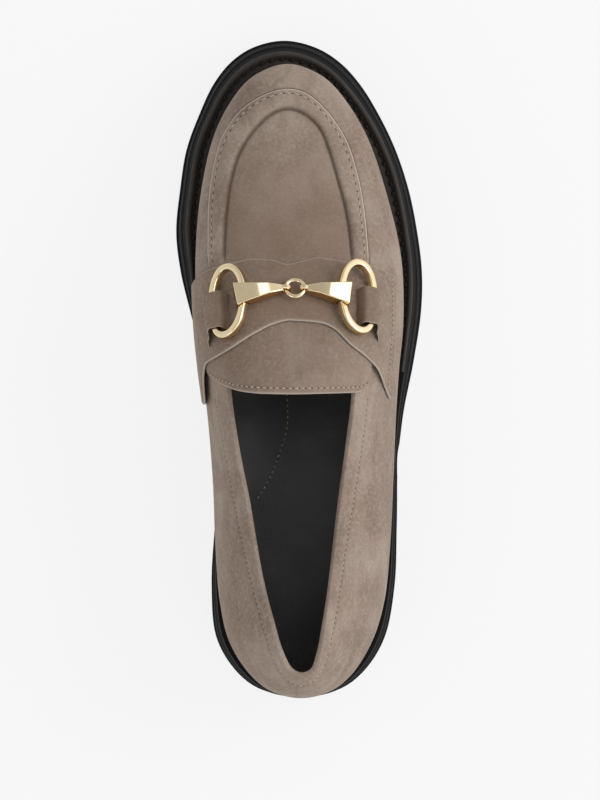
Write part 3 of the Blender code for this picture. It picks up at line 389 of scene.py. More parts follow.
class Last:
    """The form that every leather piece lies on."""

    SIDE_SAMPLES = 500

    def __init__(self) -> None:
        """Reads the outlines, and samples both sides once for the overlays."""
        tables = {"sole": SOLE_OUTLINE, "edge": EDGE_OUTLINE, "seam": SEAM_OUTLINE, "rim": RIM_OUTLINE}
        self.outlines = {name: Outline(table) for name, table in tables.items()}
        self.samples = np.linspace(PLACES.heel_centre[0], PLACES.toe_centre[0], self.SIDE_SAMPLES)
        self.sides = {side: self._reaches(*self._side(self.samples, side)) for side in (-1.0, 1.0)}

    def _reaches(self, centres: Array, directions: Array) -> dict[str, Array]:
        """The distances to all four outlines."""
        return {name: outline.reach(centres, directions) for name, outline in self.outlines.items()}

    @staticmethod
    def _side(along: Array, side: float | Array) -> tuple[Array, Array]:
        """Centres and directions of cuts straight out to a side."""
        centres = np.stack([spine_x(along), y_of(along)], axis=-1)
        directions = np.stack([np.broadcast_to(side, along.shape), np.zeros(along.shape)], axis=-1)
        return centres, directions

    def round(self, toe: int, side: int, heel: int) -> tuple[Cuts, list[int]]:
        """Cuts once round the shoe, from the outer side over the toe.

        Args:
            toe: Steps in the toe's fan.
            side: Steps along each side.
            heel: Steps in the heel's fan.

        Returns:
            The cuts, and the number of each one's point on the spine.
        """
        toe_place, heel_place = PLACES.toe_centre[0], PLACES.heel_centre[0]
        ends = [np.array((spine_x(place), y_of(place))) for place in (toe_place, heel_place)]
        middles = toe_place + (heel_place - toe_place) * np.arange(1, side) / side
        down = list(np.stack([spine_x(middles), y_of(middles)], axis=1))
        toe_turns = [math.pi * k / toe for k in range(toe + 1)]
        heel_turns = [math.pi * (1 + k / heel) for k in range(heel + 1)]
        centres = [ends[0]] * (toe + 1) + down + [ends[1]] * (heel + 1) + down[::-1]
        turns = toe_turns + [math.pi] * (side - 1) + heel_turns + [0.0] * (side - 1)
        directions = np.array([(math.cos(turn), math.sin(turn)) for turn in turns])
        inner = list(range(1, side))
        spine = [0] * (toe + 1) + inner + [side] * (heel + 1) + inner[::-1]
        centres = np.array(centres)
        return Cuts(centres, directions, self._reaches(centres, directions)), spine

    def side_cuts(self, along: Array, share: Array) -> Cuts:
        """Cuts straight out at places along the shoe, to the side of each share's sign."""
        side = np.where(share >= 0, 1.0, -1.0)
        reaches = {}
        for name in self.outlines:
            outer = np.interp(along, self.samples, self.sides[1.0][name])
            inner = np.interp(along, self.samples, self.sides[-1.0][name])
            reaches[name] = np.where(side > 0, outer, inner)
        return Cuts(*self._side(along, side), reaches)

    def point(self, along: Array, share: Array) -> Array:
        """Points on the closed last.

        Args:
            along: Places along the shoe.
            share: Shares of the way out, below 0 on the inner side.

        Returns:
            The points.
        """
        shape = np.broadcast(along, share).shape
        along, share = (np.broadcast_to(value, shape).ravel() for value in (along, share))
        cuts = self.side_cuts(along, share)
        shut, bare = cuts.points(abs(share), True), cuts.points(abs(share))
        shut[:, 2] += np.maximum(bare[:, 2] - shut[:, 2], 0.0) * smooth(abs(share), 0.0, 0.5)
        return shut.reshape(*shape, 3)

    def normal(self, along: Array, share: Array, step: float = 0.004) -> Array:
        """The outward directions at points of the closed last."""
        across = self.point(along, share + 2 * step) - self.point(along, share - 2 * step)
        ahead = self.point(along + step, share) - self.point(along - step, share)
        return unit(np.cross(across, ahead))


class Shape:
    """Points and faces of one mesh, filled row by row."""

    def __init__(self) -> None:
        """Starts empty."""
        self.points: list[Array] = []
        self.faces: list[list[int]] = []
        self.count = 0

    def add(self, points: Array) -> list[int]:
        """Adds points and returns their numbers."""
        points = np.asarray(points, float).reshape(-1, 3)
        self.points.append(points)
        self.count += len(points)
        return list(range(self.count - len(points), self.count))

    def band(self, low: Sequence[int], high: Sequence[int], closed: bool = True) -> None:
        """Faces between two rows of points.

        Args:
            low: The first row.
            high: The second row, as long as the first.
            closed: Whether the rows run on from their end to their start.
        """
        size = len(low)
        for i in range(size if closed else size - 1):
            j = (i + 1) % size
            corners = list(dict.fromkeys((low[i], low[j], high[j], high[i])))
            if len(corners) > 2:
                self.faces.append(corners)

    def bands(self, rows: Sequence[Sequence[int]], closed: bool = True) -> None:
        """Faces between each row and the next."""
        for low, high in zip(rows, rows[1:]):
            self.band(low, high, closed)

    def lid(self, row: Sequence[int]) -> None:
        """One face over a closed row."""
        self.faces.append(list(row))

    def rod(self, rows: Sequence[Sequence[int]]) -> None:
        """A closed solid through rows of points, with a face over each end."""
        self.bands(rows)
        self.lid(rows[0][::-1])
        self.lid(rows[-1])

    def all_points(self) -> Array:
        """Every point as one array."""
        return np.concatenate(self.points)


def point_normals(points: Array, faces: Sequence[Sequence[int]]) -> Array:
    """Each point's normal on a mesh, with the faces as wound."""
    mesh = bpy.data.meshes.new("normals")
    mesh.from_pydata(points.tolist(), [], faces)
    normals = np.zeros(len(points) * 3)
    mesh.vertex_normals.foreach_get("vector", normals)
    bpy.data.meshes.remove(mesh)
    return normals.reshape(-1, 3)


@dataclass
class Leather:
    """A closed solid between an outer and an inner sheet of the same faces, its free edges rolled over."""

    outer: Array
    inner: Array
    faces: list[list[int]]
    roll: float
    tone: Array
    edge_tone: float = 0.0
    rows: int = 3

    def solid(self) -> tuple[Array, list[list[int]], Array, Array]:
        """Closes the sheets.

        Returns:
            Points, faces, each point's tone, and each face's kind: 1 inside, 2 on the rolled edge, else 0.
        """
        edges = self._free_edges()
        push = self._push(edges)
        count = len(self.outer)
        rim = sorted({index for edge in edges for index in edge})
        first = {index: 2 * count + self.rows * k for k, index in enumerate(rim)}
        shares = (np.arange(self.rows) + 1) / (self.rows + 1)
        rolled = []
        for index in rim:
            line = self.outer[index] + (self.inner[index] - self.outer[index]) * shares[:, None]
            rolled.append(line + push[index] * self.roll * np.sin(math.pi * shares)[:, None])
        faces = [list(face) for face in self.faces]
        faces += [[index + count for index in reversed(face)] for face in self.faces]
        kinds = [0] * len(self.faces) + [1] * len(self.faces)
        for a, b in edges:
            left = [a, *(first[a] + k for k in range(self.rows)), a + count]
            right = [b, *(first[b] + k for k in range(self.rows)), b + count]
            faces += [[right[k], left[k], left[k + 1], right[k + 1]] for k in range(self.rows + 1)]
            kinds += [2] * (self.rows + 1)
        points = np.concatenate([self.outer, self.inner, np.concatenate(rolled)])
        edge_tones = np.full(len(rim) * self.rows, self.edge_tone)
        return points, faces, np.concatenate([self.tone, np.zeros(count), edge_tones]), np.array(kinds)

    def _free_edges(self) -> dict[tuple[int, int], int]:
        """The edges that only one face has, with that face's number."""
        edges: dict[tuple[int, int], int] = {}
        for number, face in enumerate(self.faces):
            for a, b in zip(face, face[1:] + face[:1]):
                if (b, a) in edges:
                    del edges[(b, a)]
                else:
                    edges[(a, b)] = number
        return edges

    def _push(self, edges: dict[tuple[int, int], int]) -> Array:
        """The direction out of the sheet at each point of its free edges."""
        middle = (self.outer + self.inner) / 2
        push = np.zeros_like(middle)
        for (a, b), number in edges.items():
            out = (middle[a] + middle[b]) / 2 - middle[self.faces[number]].mean(axis=0)
            for axis in (middle[b] - middle[a], self.outer[a] - self.inner[a]):
                axis = unit(axis)
                out = out - axis * out.dot(axis)
            push[[a, b]] += unit(out)
        return unit(push)


class Value:
    """A shader socket that takes part in Python sums. Each sum adds a Math node."""

    def __init__(self, book: "Book", socket: bpy.types.NodeSocket) -> None:
        """Keeps the socket and the book that it is in."""
        self.book, self.socket = book, socket

    def _math(self, operation: str, first: "Value | float", second: "Value | float") -> "Value":
        """One Math node on two terms."""
        return self.book.node("ShaderNodeMath", {"operation": operation}, {0: first, 1: second})

    def __add__(self, other: "Value | float") -> "Value":
        """The sum."""
        return self._math("ADD", self, other)

    __radd__ = __add__

    def __sub__(self, other: "Value | float") -> "Value":
        """The difference."""
        return self._math("SUBTRACT", self, other)

    def __rsub__(self, other: "Value | float") -> "Value":
        """The difference from a number."""
        return self._math("SUBTRACT", other, self)

    def __mul__(self, other: "Value | float") -> "Value":
        """The product."""
        return self._math("MULTIPLY", self, other)

    __rmul__ = __mul__

    def ramp(self, low: float, high: float) -> "Value":
        """A soft ramp from 0 at low to 1 at high."""
        inputs = {"Value": self, "From Min": low, "From Max": high}
        return self.book.node("ShaderNodeMapRange", {"interpolation_type": "SMOOTHSTEP"}, inputs)


class Book:
    """The nodes of one material, or of the sky."""

    def __init__(self, owner: "bpy.types.Material | bpy.types.World") -> None:
        """Starts with the owner's own shader."""
        owner.use_nodes = True
        self.owner, self.tree = owner, owner.node_tree
        self.shader = next(node for node in self.tree.nodes if node.outputs)

    def node(self, kind: str, settings: dict, inputs: dict, output: int | str = 0) -> Value:
        """Adds a node: its settings first, then the values or links of its sockets.

        Args:
            kind: The node's type.
            settings: The node's own settings.
            inputs: Values or links by the socket's name or number.
            output: The socket that is wanted.

        Returns:
            That output.
        """
        node = self.tree.nodes.new(kind)
        for name, value in settings.items():
            setattr(node, name, value)
        for name, value in inputs.items():
            self.feed(node.inputs[name], value)
        return Value(self, node.outputs[output])

    def feed(self, socket: bpy.types.NodeSocket, value: "Value | float | Sequence[float]") -> None:
        """Links a socket, or sets its own number, vector or colour."""
        if isinstance(value, Value):
            self.tree.links.new(value.socket, socket)
        elif isinstance(value, tuple) and socket.type == "RGBA":
            socket.default_value = (*value, 1.0)
        else:
            socket.default_value = value

    def place(self) -> Value:
        """The point on the piece, in metres."""
        return self.node("ShaderNodeTexCoord", {}, {}, "Object")

    def stretch(self, place: Value, scale: tuple[float, float, float]) -> Value:
        """The place scaled along each axis."""
        return self.node("ShaderNodeVectorMath", {"operation": "MULTIPLY"}, {0: place, 1: scale})

    def noise(self, place: Value, scale: float, detail: float = 3.0, rough: float = 0.5,
              warp: float = 0.0) -> Value:
        """Cloud noise from 0 to 1, with so many features in a metre."""
        inputs = {"Vector": place, "Scale": scale, "Detail": detail, "Roughness": rough, "Distortion": warp}
        return self.node("ShaderNodeTexNoise", {"noise_dimensions": "3D"}, inputs, "Fac")

    def cells(self, place: Value, scale: float) -> Value:
        """Pebbled cells, for leather."""
        inputs = {"Vector": place, "Scale": scale}
        return self.node("ShaderNodeTexVoronoi", {"feature": "F1"}, inputs, "Distance")

    def mark(self, name: str) -> Value:
        """A number that the mesh carries at each point."""
        return self.node("ShaderNodeAttribute", {"attribute_name": name}, {}, "Fac")

    def blend(self, share: "Value | float", first: "Value | Colour", second: "Value | Colour") -> Value:
        """A colour between two."""
        inputs = {"Factor": share, 6: first, 7: second}
        return self.node("ShaderNodeMix", {"data_type": "RGBA"}, inputs, 2)

    def bump(self, height: Value, distance: float, strength: float, under: Value | None = None) -> Value:
        """A normal from a height, on top of another normal where one is given."""
        inputs = {"Strength": strength, "Distance": distance, "Height": height}
        if under is not None:
            inputs["Normal"] = under
        return self.node("ShaderNodeBump", {}, inputs, "Normal")

    def finish(self, **inputs: "Value | float | Sequence[float]") -> bpy.types.ID:
        """Feeds the shader's sockets, named with _ for a space.

        Args:
            **inputs: Values or links for the shader.

        Returns:
            The material or the sky.
        """
        for name, value in inputs.items():
            self.feed(self.shader.inputs[name.replace("_", " ").title().replace("Ior", "IOR")], value)
        return self.owner


@dataclass(frozen=True)
class Suede:
    """Brushed suede: a short nap in patches, painted shade in creases and under edges, and paler on raw
    edges.
    """

    name: str
    colour: Colour
    dark: Colour
    pale: Colour = (0.50, 0.43, 0.37)
    # crease: the colour of painted shade in creases, grooves and under raised edges, and of the dark back
    # seam.
    crease: Colour = (0.075, 0.045, 0.030)
    warm: Colour = (0.205, 0.141, 0.104)
    nap: float = 0.00016

    def build(self) -> bpy.types.Material:
        """Makes the material."""
        book = Book(bpy.data.materials.new(self.name))
        place = book.place()
        drift = book.noise(place, 30.0, 3.0, 0.55, 0.5)
        brushed = book.noise(book.stretch(place, (1.0, 0.5, 1.0)), 85.0, 4.0, 0.6, 0.9)
        fleck = book.noise(place, 700.0, 3.0, 0.65)
        fibre = book.noise(book.stretch(place, (1.0, 0.6, 1.0)), 2300.0, 2.0, 0.6)
        patches = drift.ramp(0.38, 0.62) * 0.55 + brushed.ramp(0.38, 0.62) * 0.45
        colour = book.blend(patches, self.dark, self.colour)
        blush = book.noise(place, 48.0, 2.0, 0.5, 0.6)
        colour = book.blend(blush.ramp(0.46, 0.66) * 0.30, colour, self.warm)
        colour = book.blend(fleck.ramp(0.40, 0.75) * 0.30, colour, self.pale)
        colour = book.blend(fibre.ramp(0.62, 0.36) * 0.22, colour, self.dark)
        # The brown mark: a browner tint on the apron's plug, the saddle and the tongue; on the keepers it is
        # painted shade.
        brown = book.mark("brown")
        colour = book.blend(brown * 0.8, colour, self.warm)
        # The tone mark: above 0 paler raw edges and a painted highlight on the collar's rim; below 0 painted
        # shade and the dark back seam.
        tone = book.mark("tone")
        colour = book.blend(tone.ramp(0.0, 1.0), colour, self.pale)
        colour = book.blend((tone * -1.0).ramp(0.0, 1.0), colour, self.crease)
        deep = book.bump(fleck, self.nap * 2.2, 0.55)
        normal = book.bump(fibre, self.nap, 0.6, deep)
        rough = 0.86 + fibre * 0.12
        return book.finish(base_color=colour, roughness=rough, normal=normal, sheen_weight=0.22,
                           sheen_roughness=0.45, sheen_tint=self.pale, specular_ior_level=0.2)


@dataclass(frozen=True)
class BlackLeather:
    """Smooth black leather with a fine pebble and a soft gloss."""

    name: str
    colour: Colour = (0.0115, 0.0115, 0.012)
    worn: Colour = (0.024, 0.024, 0.025)

    def build(self) -> bpy.types.Material:
        """Makes the material."""
        book = Book(bpy.data.materials.new(self.name))
        place = book.place()
        pebble = book.cells(place, 1500.0)
        creases = book.noise(place, 260.0, 4.0, 0.6, 0.6)
        clouds = book.noise(place, 40.0, 3.0)
        colour = book.blend(clouds.ramp(0.35, 0.7), self.colour, self.worn)
        normal = book.bump(pebble, 0.00009, 0.6, book.bump(creases, 0.0002, 0.45))
        return book.finish(base_color=colour, roughness=0.36 + clouds * 0.2, normal=normal,
                           specular_ior_level=0.45)


@dataclass(frozen=True)
class Rubber:
    """Moulded rubber with a fine matt grain and faint scuffs."""

    name: str
    colour: Colour
    scuffed: Colour
    rough: float = 0.52

    def build(self) -> bpy.types.Material:
        """Makes the material."""
        book = Book(bpy.data.materials.new(self.name))
        place = book.place()
        grain = book.noise(place, 1700.0, 2.0, 0.6)
        clouds = book.noise(place, 60.0, 4.0, 0.6, 0.5)
        scuffs = book.noise(book.stretch(place, (1.0, 1.0, 4.0)), 240.0, 4.0, 0.7, 0.4)
        share = clouds.ramp(0.42, 0.75) * 0.6 + scuffs.ramp(0.55, 0.8) * 0.4
        colour = book.blend(share, self.colour, self.scuffed)
        # The tone mark below 0 is painted shade, darkening the welt's groove and the channel by the upper.
        tone = book.mark("tone")
        colour = book.blend((tone * -1.0).ramp(0.0, 1.0) * 0.8, colour, (0.004, 0.004, 0.004))
        normal = book.bump(grain, 0.00006, 0.5)
        return book.finish(base_color=colour, roughness=self.rough + clouds * 0.14, normal=normal,
                           specular_ior_level=0.10)


@dataclass(frozen=True)
class Gilt:
    """Polished pale gold plate, with a painted reflection: a deeper gold on the faces that look sideways."""

    name: str
    colour: Colour = (0.86, 0.71, 0.46)
    # deep: painted reflection, the deeper gold of light bounced between the bit's faces, put on the sideways
    # faces.
    deep: Colour = (0.76, 0.50, 0.20)
    rough: float = 0.05

    def build(self) -> bpy.types.Material:
        """Makes the material."""
        book = Book(bpy.data.materials.new(self.name))
        place = book.place()
        smear = book.noise(place, 180.0, 3.0, 0.6, 0.6)
        ripple = book.noise(place, 95.0, 1.0)
        # Painted reflection: faces whose normal looks sideways get the deep colour.
        facing = book.node("ShaderNodeNewGeometry", {}, {}, "Normal")
        upward = book.node("ShaderNodeSeparateXYZ", {}, {0: facing}, "Z")
        colour = book.blend(upward.ramp(0.30, 0.72) - smear.ramp(0.45, 0.8) * 0.2, self.deep, self.colour)
        return book.finish(base_color=colour, roughness=self.rough + smear * 0.06, metallic=1.0,
                           normal=book.bump(ripple, 0.0001, 0.15))


@dataclass(frozen=True)
class Thread:
    """Twisted sewing thread."""

    name: str
    colour: Colour
    shade: Colour

    def build(self) -> bpy.types.Material:
        """Makes the material."""
        book = Book(bpy.data.materials.new(self.name))
        place = book.place()
        strands = book.noise(place, 3200.0, 2.0, 0.6, 0.4)
        colour = book.blend(strands.ramp(0.35, 0.65), self.shade, self.colour)
        return book.finish(base_color=colour, roughness=0.72 + strands * 0.15,
                           normal=book.bump(strands, 0.00008, 0.7), specular_ior_level=0.3)


@dataclass(frozen=True)
class Finishes:
    """Every finish of the shoe, built once."""

    suede: bpy.types.Material
    saddle_suede: bpy.types.Material
    raw_edge: bpy.types.Material
    lining: bpy.types.Material
    insole: bpy.types.Material
    rubber: bpy.types.Material
    welt: bpy.types.Material
    gilt: bpy.types.Material
    taupe_thread: bpy.types.Material
    cream_thread: bpy.types.Material
    black_thread: bpy.types.Material
    hole: bpy.types.Material

    @classmethod
    def build(cls) -> "Finishes":
        """Makes every material."""
        return cls(
            suede=Suede("suede", (0.315, 0.250, 0.203), (0.195, 0.143, 0.109)).build(),
            saddle_suede=Suede("saddle_suede", (0.275, 0.213, 0.168), (0.180, 0.130, 0.097)).build(),
            raw_edge=Suede("raw_edge", (0.37, 0.310, 0.260), (0.27, 0.215, 0.175), nap=0.0003).build(),
            lining=BlackLeather("lining").build(),
            insole=BlackLeather("insole_leather", (0.058, 0.057, 0.056), (0.095, 0.093, 0.091)).build(),
            rubber=Rubber("rubber", (0.0060, 0.0060, 0.0062), (0.011, 0.011, 0.0115), 0.72).build(),
            welt=Rubber("welt", (0.044, 0.038, 0.034), (0.062, 0.055, 0.049), 0.6).build(),
            gilt=Gilt("gilt").build(),
            taupe_thread=Thread("taupe_thread", (0.50, 0.42, 0.345), (0.31, 0.245, 0.19)).build(),
            cream_thread=Thread("cream_thread", (0.70, 0.62, 0.47), (0.46, 0.39, 0.28)).build(),
            black_thread=Thread("black_thread", (0.012, 0.011, 0.010), (0.005, 0.0045, 0.004)).build(),
            # The needle holes are coloured dark: painted shade inside each hole.
            hole=Thread("needle_hole_shade", (0.095, 0.066, 0.050), (0.045, 0.031, 0.023)).build(),
        )


class Slot(Enum):
    """The record's material slots."""

    SUEDE = "suede"
    SADDLE = "saddle_suede"
    RUBBER = "rubber"
    WELT = "welt"
    INSOLE = "insole_leather"
    GILT = "gilt"


@dataclass
class Piece:
    """One finished object of the shoe."""

    name: str
    slot: Slot
    materials: list[bpy.types.Material]
    replaces: tuple[str, ...] = ()
    body: str = SHOE
    sharp: float = 50.0

    def make(self, points: Array, faces: Sequence[Sequence[int]], marks: dict[str, Array] | None = None,
             kinds: Array | None = None) -> bpy.types.Object:
        """Makes the object, without its ride.

        Args:
            points: Its points.
            faces: Its faces.
            marks: Numbers that each point carries for the shaders, by name.
            kinds: The material's number for each face.

        Returns:
            The object.
        """
        mesh = bpy.data.meshes.new(self.name)
        mesh.from_pydata(np.asarray(points).tolist(), [], faces)
        if kinds is not None:
            mesh.polygons.foreach_set("material_index", np.asarray(kinds, np.int32))
        for name, values in (marks or {}).items():
            attribute = mesh.attributes.new(name, "FLOAT", "POINT")
            attribute.data.foreach_set("value", np.asarray(values, np.float32))
        for material in self.materials:
            mesh.materials.append(material)
        mesh.shade_smooth()
        mesh.set_sharp_from_angle(angle=math.radians(self.sharp))
        mesh.validate()
        item = bpy.data.objects.new(self.name, mesh)
        bpy.context.scene.collection.objects.link(item)
        return item

    def fit(self, item: bpy.types.Object) -> bpy.types.Object:
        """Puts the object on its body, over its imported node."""
        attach(item, self.body)
        if self.replaces:
            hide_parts(*self.replaces)
        LOG.info("%s: %d faces", self.name, len(item.data.polygons))
        return item

    def add(self, shape: Shape, marks: dict[str, Array] | None = None) -> None:
        """Makes a closed shape with its faces wound outwards, and fits it."""
        self.fit(turned_out(self.make(shape.all_points(), shape.faces, marks)))


def turned_out(item: bpy.types.Object) -> bpy.types.Object:
    """The object with its faces wound outwards."""
    mesh = item.data
    points = np.empty(len(mesh.vertices) * 3)
    mesh.vertices.foreach_get("co", points)
    points = points.reshape(-1, 3)
    mesh.calc_loop_triangles()
    corners = np.empty(len(mesh.loop_triangles) * 3, np.int32)
    mesh.loop_triangles.foreach_get("vertices", corners)
    a, b, c = (points[corners.reshape(-1, 3)[:, k]] for k in range(3))
    if np.einsum("ij,ij->i", a, np.cross(b, c)).sum() < 0:
        mesh.flip_normals()
    return item


@dataclass
class Line:
    """A line on the shoe, with the surface's normal at each point."""

    REACH: ClassVar[float] = 0.0002
    points: Array
    normals: Array

    def walk(self, distances: Array) -> tuple[Array, Array, Array]:
        """Points, normals and tangents at distances along the line."""
        steps = np.linalg.norm(np.diff(self.points, axis=0), axis=1)
        lengths = np.concatenate([[0.0], np.cumsum(steps)])
        point, normal = (between(distances, lengths, values) for values in (self.points, self.normals))
        before, after = (
            between(distances + shift, lengths, self.points) for shift in (-self.REACH, self.REACH)
        )
        return point, unit(normal), unit(after - before)

    def length(self) -> float:
        """The line's length."""
        return float(np.linalg.norm(np.diff(self.points, axis=0), axis=1).sum())


@dataclass(frozen=True)
class Stitching:
    """A row of stitches: bowed thread that dips into a needle hole at each end."""

    HOLE_SIDES: ClassVar[int] = 8
    HOLE_STRETCH: ClassVar[float] = 1.25
    HOLE_RIM: ClassVar[float] = 0.00005
    HOLE_DEPTH: ClassVar[float] = 0.0003
    HOLE_TAPER: ClassVar[float] = 0.6
    pitch: float
    cover: float = 0.72
    radius: float = 0.00030
    rise: float = 0.00016
    hole: float = 0.00032
    sides: int = 6
    steps: int = 6

    def sew(self, name: str, line: Line, thread: bpy.types.Material, hole: bpy.types.Material,
            slot: Slot) -> None:
        """Sews the row.

        Args:
            name: The piece's name.
            line: Where the row runs.
            thread: The thread's finish.
            hole: The needle holes' finish, painted shade in each hole.
            slot: The record's slot, kept on the piece.
        """
        count = max(int(line.length() / self.pitch), 1)
        pitch = line.length() / count
        shape = Shape()
        shares = np.linspace(0, 1, self.steps + 1)
        for k in range(count):
            start = (k + (1 - self.cover) / 2) * pitch
            place, normal, tangent = line.walk(start + shares * pitch * self.cover)
            bow = self.rise * np.sin(math.pi * shares) - self.radius * 0.9 * (1 - np.sin(math.pi * shares))
            slim = 0.55 + 0.45 * np.sin(math.pi * shares)
            centre = place + normal * bow[:, None]
            side = np.cross(tangent, normal)
            turns = round_turns(self.sides)
            ring = side[:, None] * np.cos(turns) + normal[:, None] * np.sin(turns)
            rows = centre[:, None] + ring * (self.radius * slim)[:, None, None]
            shape.rod([shape.add(row) for row in rows])
        kinds = [0] * len(shape.faces)
        for k in range(count + 1):
            place, normal, tangent = line.walk(np.array([k * pitch]))
            side = np.cross(tangent, normal)
            turns = round_turns(self.HOLE_SIDES)
            disc = tangent * np.cos(turns) * self.HOLE_STRETCH + side * np.sin(turns)
            row = shape.add(place + normal * self.HOLE_RIM + disc * self.hole)
            low = shape.add(place - normal * self.HOLE_DEPTH + disc * self.hole * self.HOLE_TAPER)
            shape.band(row, low)
            shape.lid(row)
            shape.lid(low[::-1])
        kinds += [1] * (len(shape.faces) - len(kinds))
        piece = Piece(name, slot, [thread, hole])
        piece.fit(piece.make(shape.all_points(), shape.faces, kinds=np.array(kinds)))


APRON_ROW = Stitching(0.0033, 0.62, 0.00034, 0.00024, 0.00044)
TOPLINE_ROW = Stitching(0.00205, 0.66, 0.00027, 0.00018, 0.00027)
TONGUE_ROW = Stitching(0.00245, 0.64, 0.00028, 0.00018, 0.00028)
SADDLE_ROW = Stitching(0.00190, 0.62, 0.00025, 0.00014, 0.00026)
WELT_ROW = Stitching(0.0042, 0.70, 0.00082, 0.00036, 0.00046, 10)
INSOLE_ROW = Stitching(0.0023, 0.60, 0.00022, 0.00016, 0.00022)


@dataclass
class Upper:
    """The hollow suede upper: vamp with its apron, sides, back and folded topline."""

    FEATHER_ROWS: ClassVar[int] = 9
    MILLI: ClassVar[float] = 0.001
    APRON_INSET: ClassVar[float] = 2.4
    TOPLINE_INSET: ClassVar[float] = 0.1
    SEAM_INSETS: ClassVar[tuple[float, ...]] = (
        -1.2, -0.7, -0.35, -0.1, TOPLINE_INSET, 0.3, 0.55, 0.9, 1.25, 1.6, 1.95, APRON_INSET,
    )
    RIM_INSETS: ClassVar[tuple[float, ...]] = (0.0009, 0.0005, 0.0002, 0.0)
    PLUG_INSETS: ClassVar[tuple[float, ...]] = (0.0002, 0.0005, 0.0009, 0.0014, 0.0021, 0.0030)
    APRON_FROM: ClassVar[float] = 0.652
    TOPLINE_TO: ClassVar[float] = 0.455

    last: Last
    finishes: Finishes
    toe_steps: int = 128
    side_steps: int = 160
    heel_steps: int = 88
    wall_rows: int = 30
    band_rows: int = 10
    plug_rows: int = 26
    edge_height: float = 0.00095
    puff: float = 0.00105
    stitch_inset: float = 0.0024

    def build(self) -> None:
        """Makes the upper and sews its two rows."""
        cuts, spine = self.last.round(self.toe_steps, self.side_steps, self.heel_steps)
        shares, depth = self._rows(cuts)
        throat = round(self.side_steps * PLACES.throat_share)
        front = list(range(-throat, self.toe_steps + throat + 1))
        shape = Shape()
        base = cuts.points(shares)
        rings = [shape.add(base[:, level]) for level in range(shares.shape[1])]
        shape.bands(rings)
        depths = [depth[:, level] for level in range(shares.shape[1])]
        owners = [np.arange(len(spine))] * shares.shape[1]
        plug, plug_depth = self._plug_rows(cuts, depth)
        closing = [[rings[-1][k] for k in front]]
        numbers = np.array([k % len(spine) for k in front])
        plug_base = cuts.points(plug)
        for level in range(plug.shape[1]):
            closing.append(shape.add(plug_base[numbers, level]))
            depths.append(plug_depth[numbers, level])
            owners.append(numbers)
        centres = {spine[k]: k % len(spine) for k in front}
        order = np.array([centres[number] for number in sorted(centres)])
        first = shape.add(cuts.points(np.zeros((len(spine), 1)))[order, 0])[0]
        depths.append(cuts.seam[order])
        owners.append(order)
        closing.append([first + spine[k] for k in front])
        shape.bands(closing, closed=False)
        depth_all, owner = np.concatenate(depths), np.concatenate(owners)
        points = shape.all_points()
        normals = point_normals(points, shape.faces)
        proud, tone, brown = self._relief(cuts, owner, depth_all)
        outer = points + normals * proud[:, None]
        wall = points - normals * SIZES.wall
        wall[rings[0], 2] = points[rings[0], 2]
        leather = Leather(outer, wall, shape.faces, SIZES.wall * 0.12, tone, 0.12)
        solid, faces, tones, kinds = leather.solid()
        browns = np.concatenate([brown, np.zeros(len(solid) - len(brown))])
        piece = Piece("upper_suede", Slot.SUEDE, [self.finishes.suede, self.finishes.lining], ("upper",))
        item = piece.make(solid, faces, {"tone": tones, "brown": browns}, np.where(kinds == 1, 1, 0))
        piece.fit(item)
        self._sew(outer, normals, rings, front)

    def _rows(self, cuts: Cuts) -> tuple[Array, Array]:
        """Shares of the way out at each row, and how far inside the seam each row lies, in metres."""
        seam, rim = cuts.seam / cuts.edge, cuts.rim / cuts.edge
        start = (cuts.seam - self.SEAM_INSETS[0] * self.MILLI) / cuts.edge
        turn = np.arcsin(np.clip(start, 0, 1) ** (cuts.full / 2))
        columns = [np.full(len(seam), 2 - k / self.FEATHER_ROWS) for k in range(self.FEATHER_ROWS)]
        for k in range(self.wall_rows):
            angle = math.pi / 2 + (turn - math.pi / 2) * k / self.wall_rows
            columns.append(np.sin(angle) ** (2 / cuts.full))
        columns += [seam - inset * self.MILLI / cuts.edge for inset in self.SEAM_INSETS]
        last_inset = self.SEAM_INSETS[-1] * self.MILLI / cuts.edge
        near_rim = rim + self.RIM_INSETS[0] / cuts.edge
        for k in range(1, self.band_rows):
            columns.append(seam - last_inset + (near_rim - seam + last_inset) * k / self.band_rows)
        columns += [rim + inset / cuts.edge for inset in self.RIM_INSETS]
        shares = np.stack(columns, axis=1)
        return shares, (seam[:, None] - np.minimum(shares, 1.0)) * cuts.edge[:, None]

    def _plug_rows(self, cuts: Cuts, depth: Array) -> tuple[Array, Array]:
        """The same for the rows inside the apron's crease."""
        rim, seam = cuts.rim, cuts.seam
        columns = [(rim - inset) / cuts.edge for inset in self.PLUG_INSETS]
        start = rim - self.PLUG_INSETS[-1]
        columns += [start * (1 - k / self.plug_rows) / cuts.edge for k in range(1, self.plug_rows)]
        shares = np.stack(columns, axis=1)
        return shares, seam[:, None] - shares * cuts.edge[:, None]

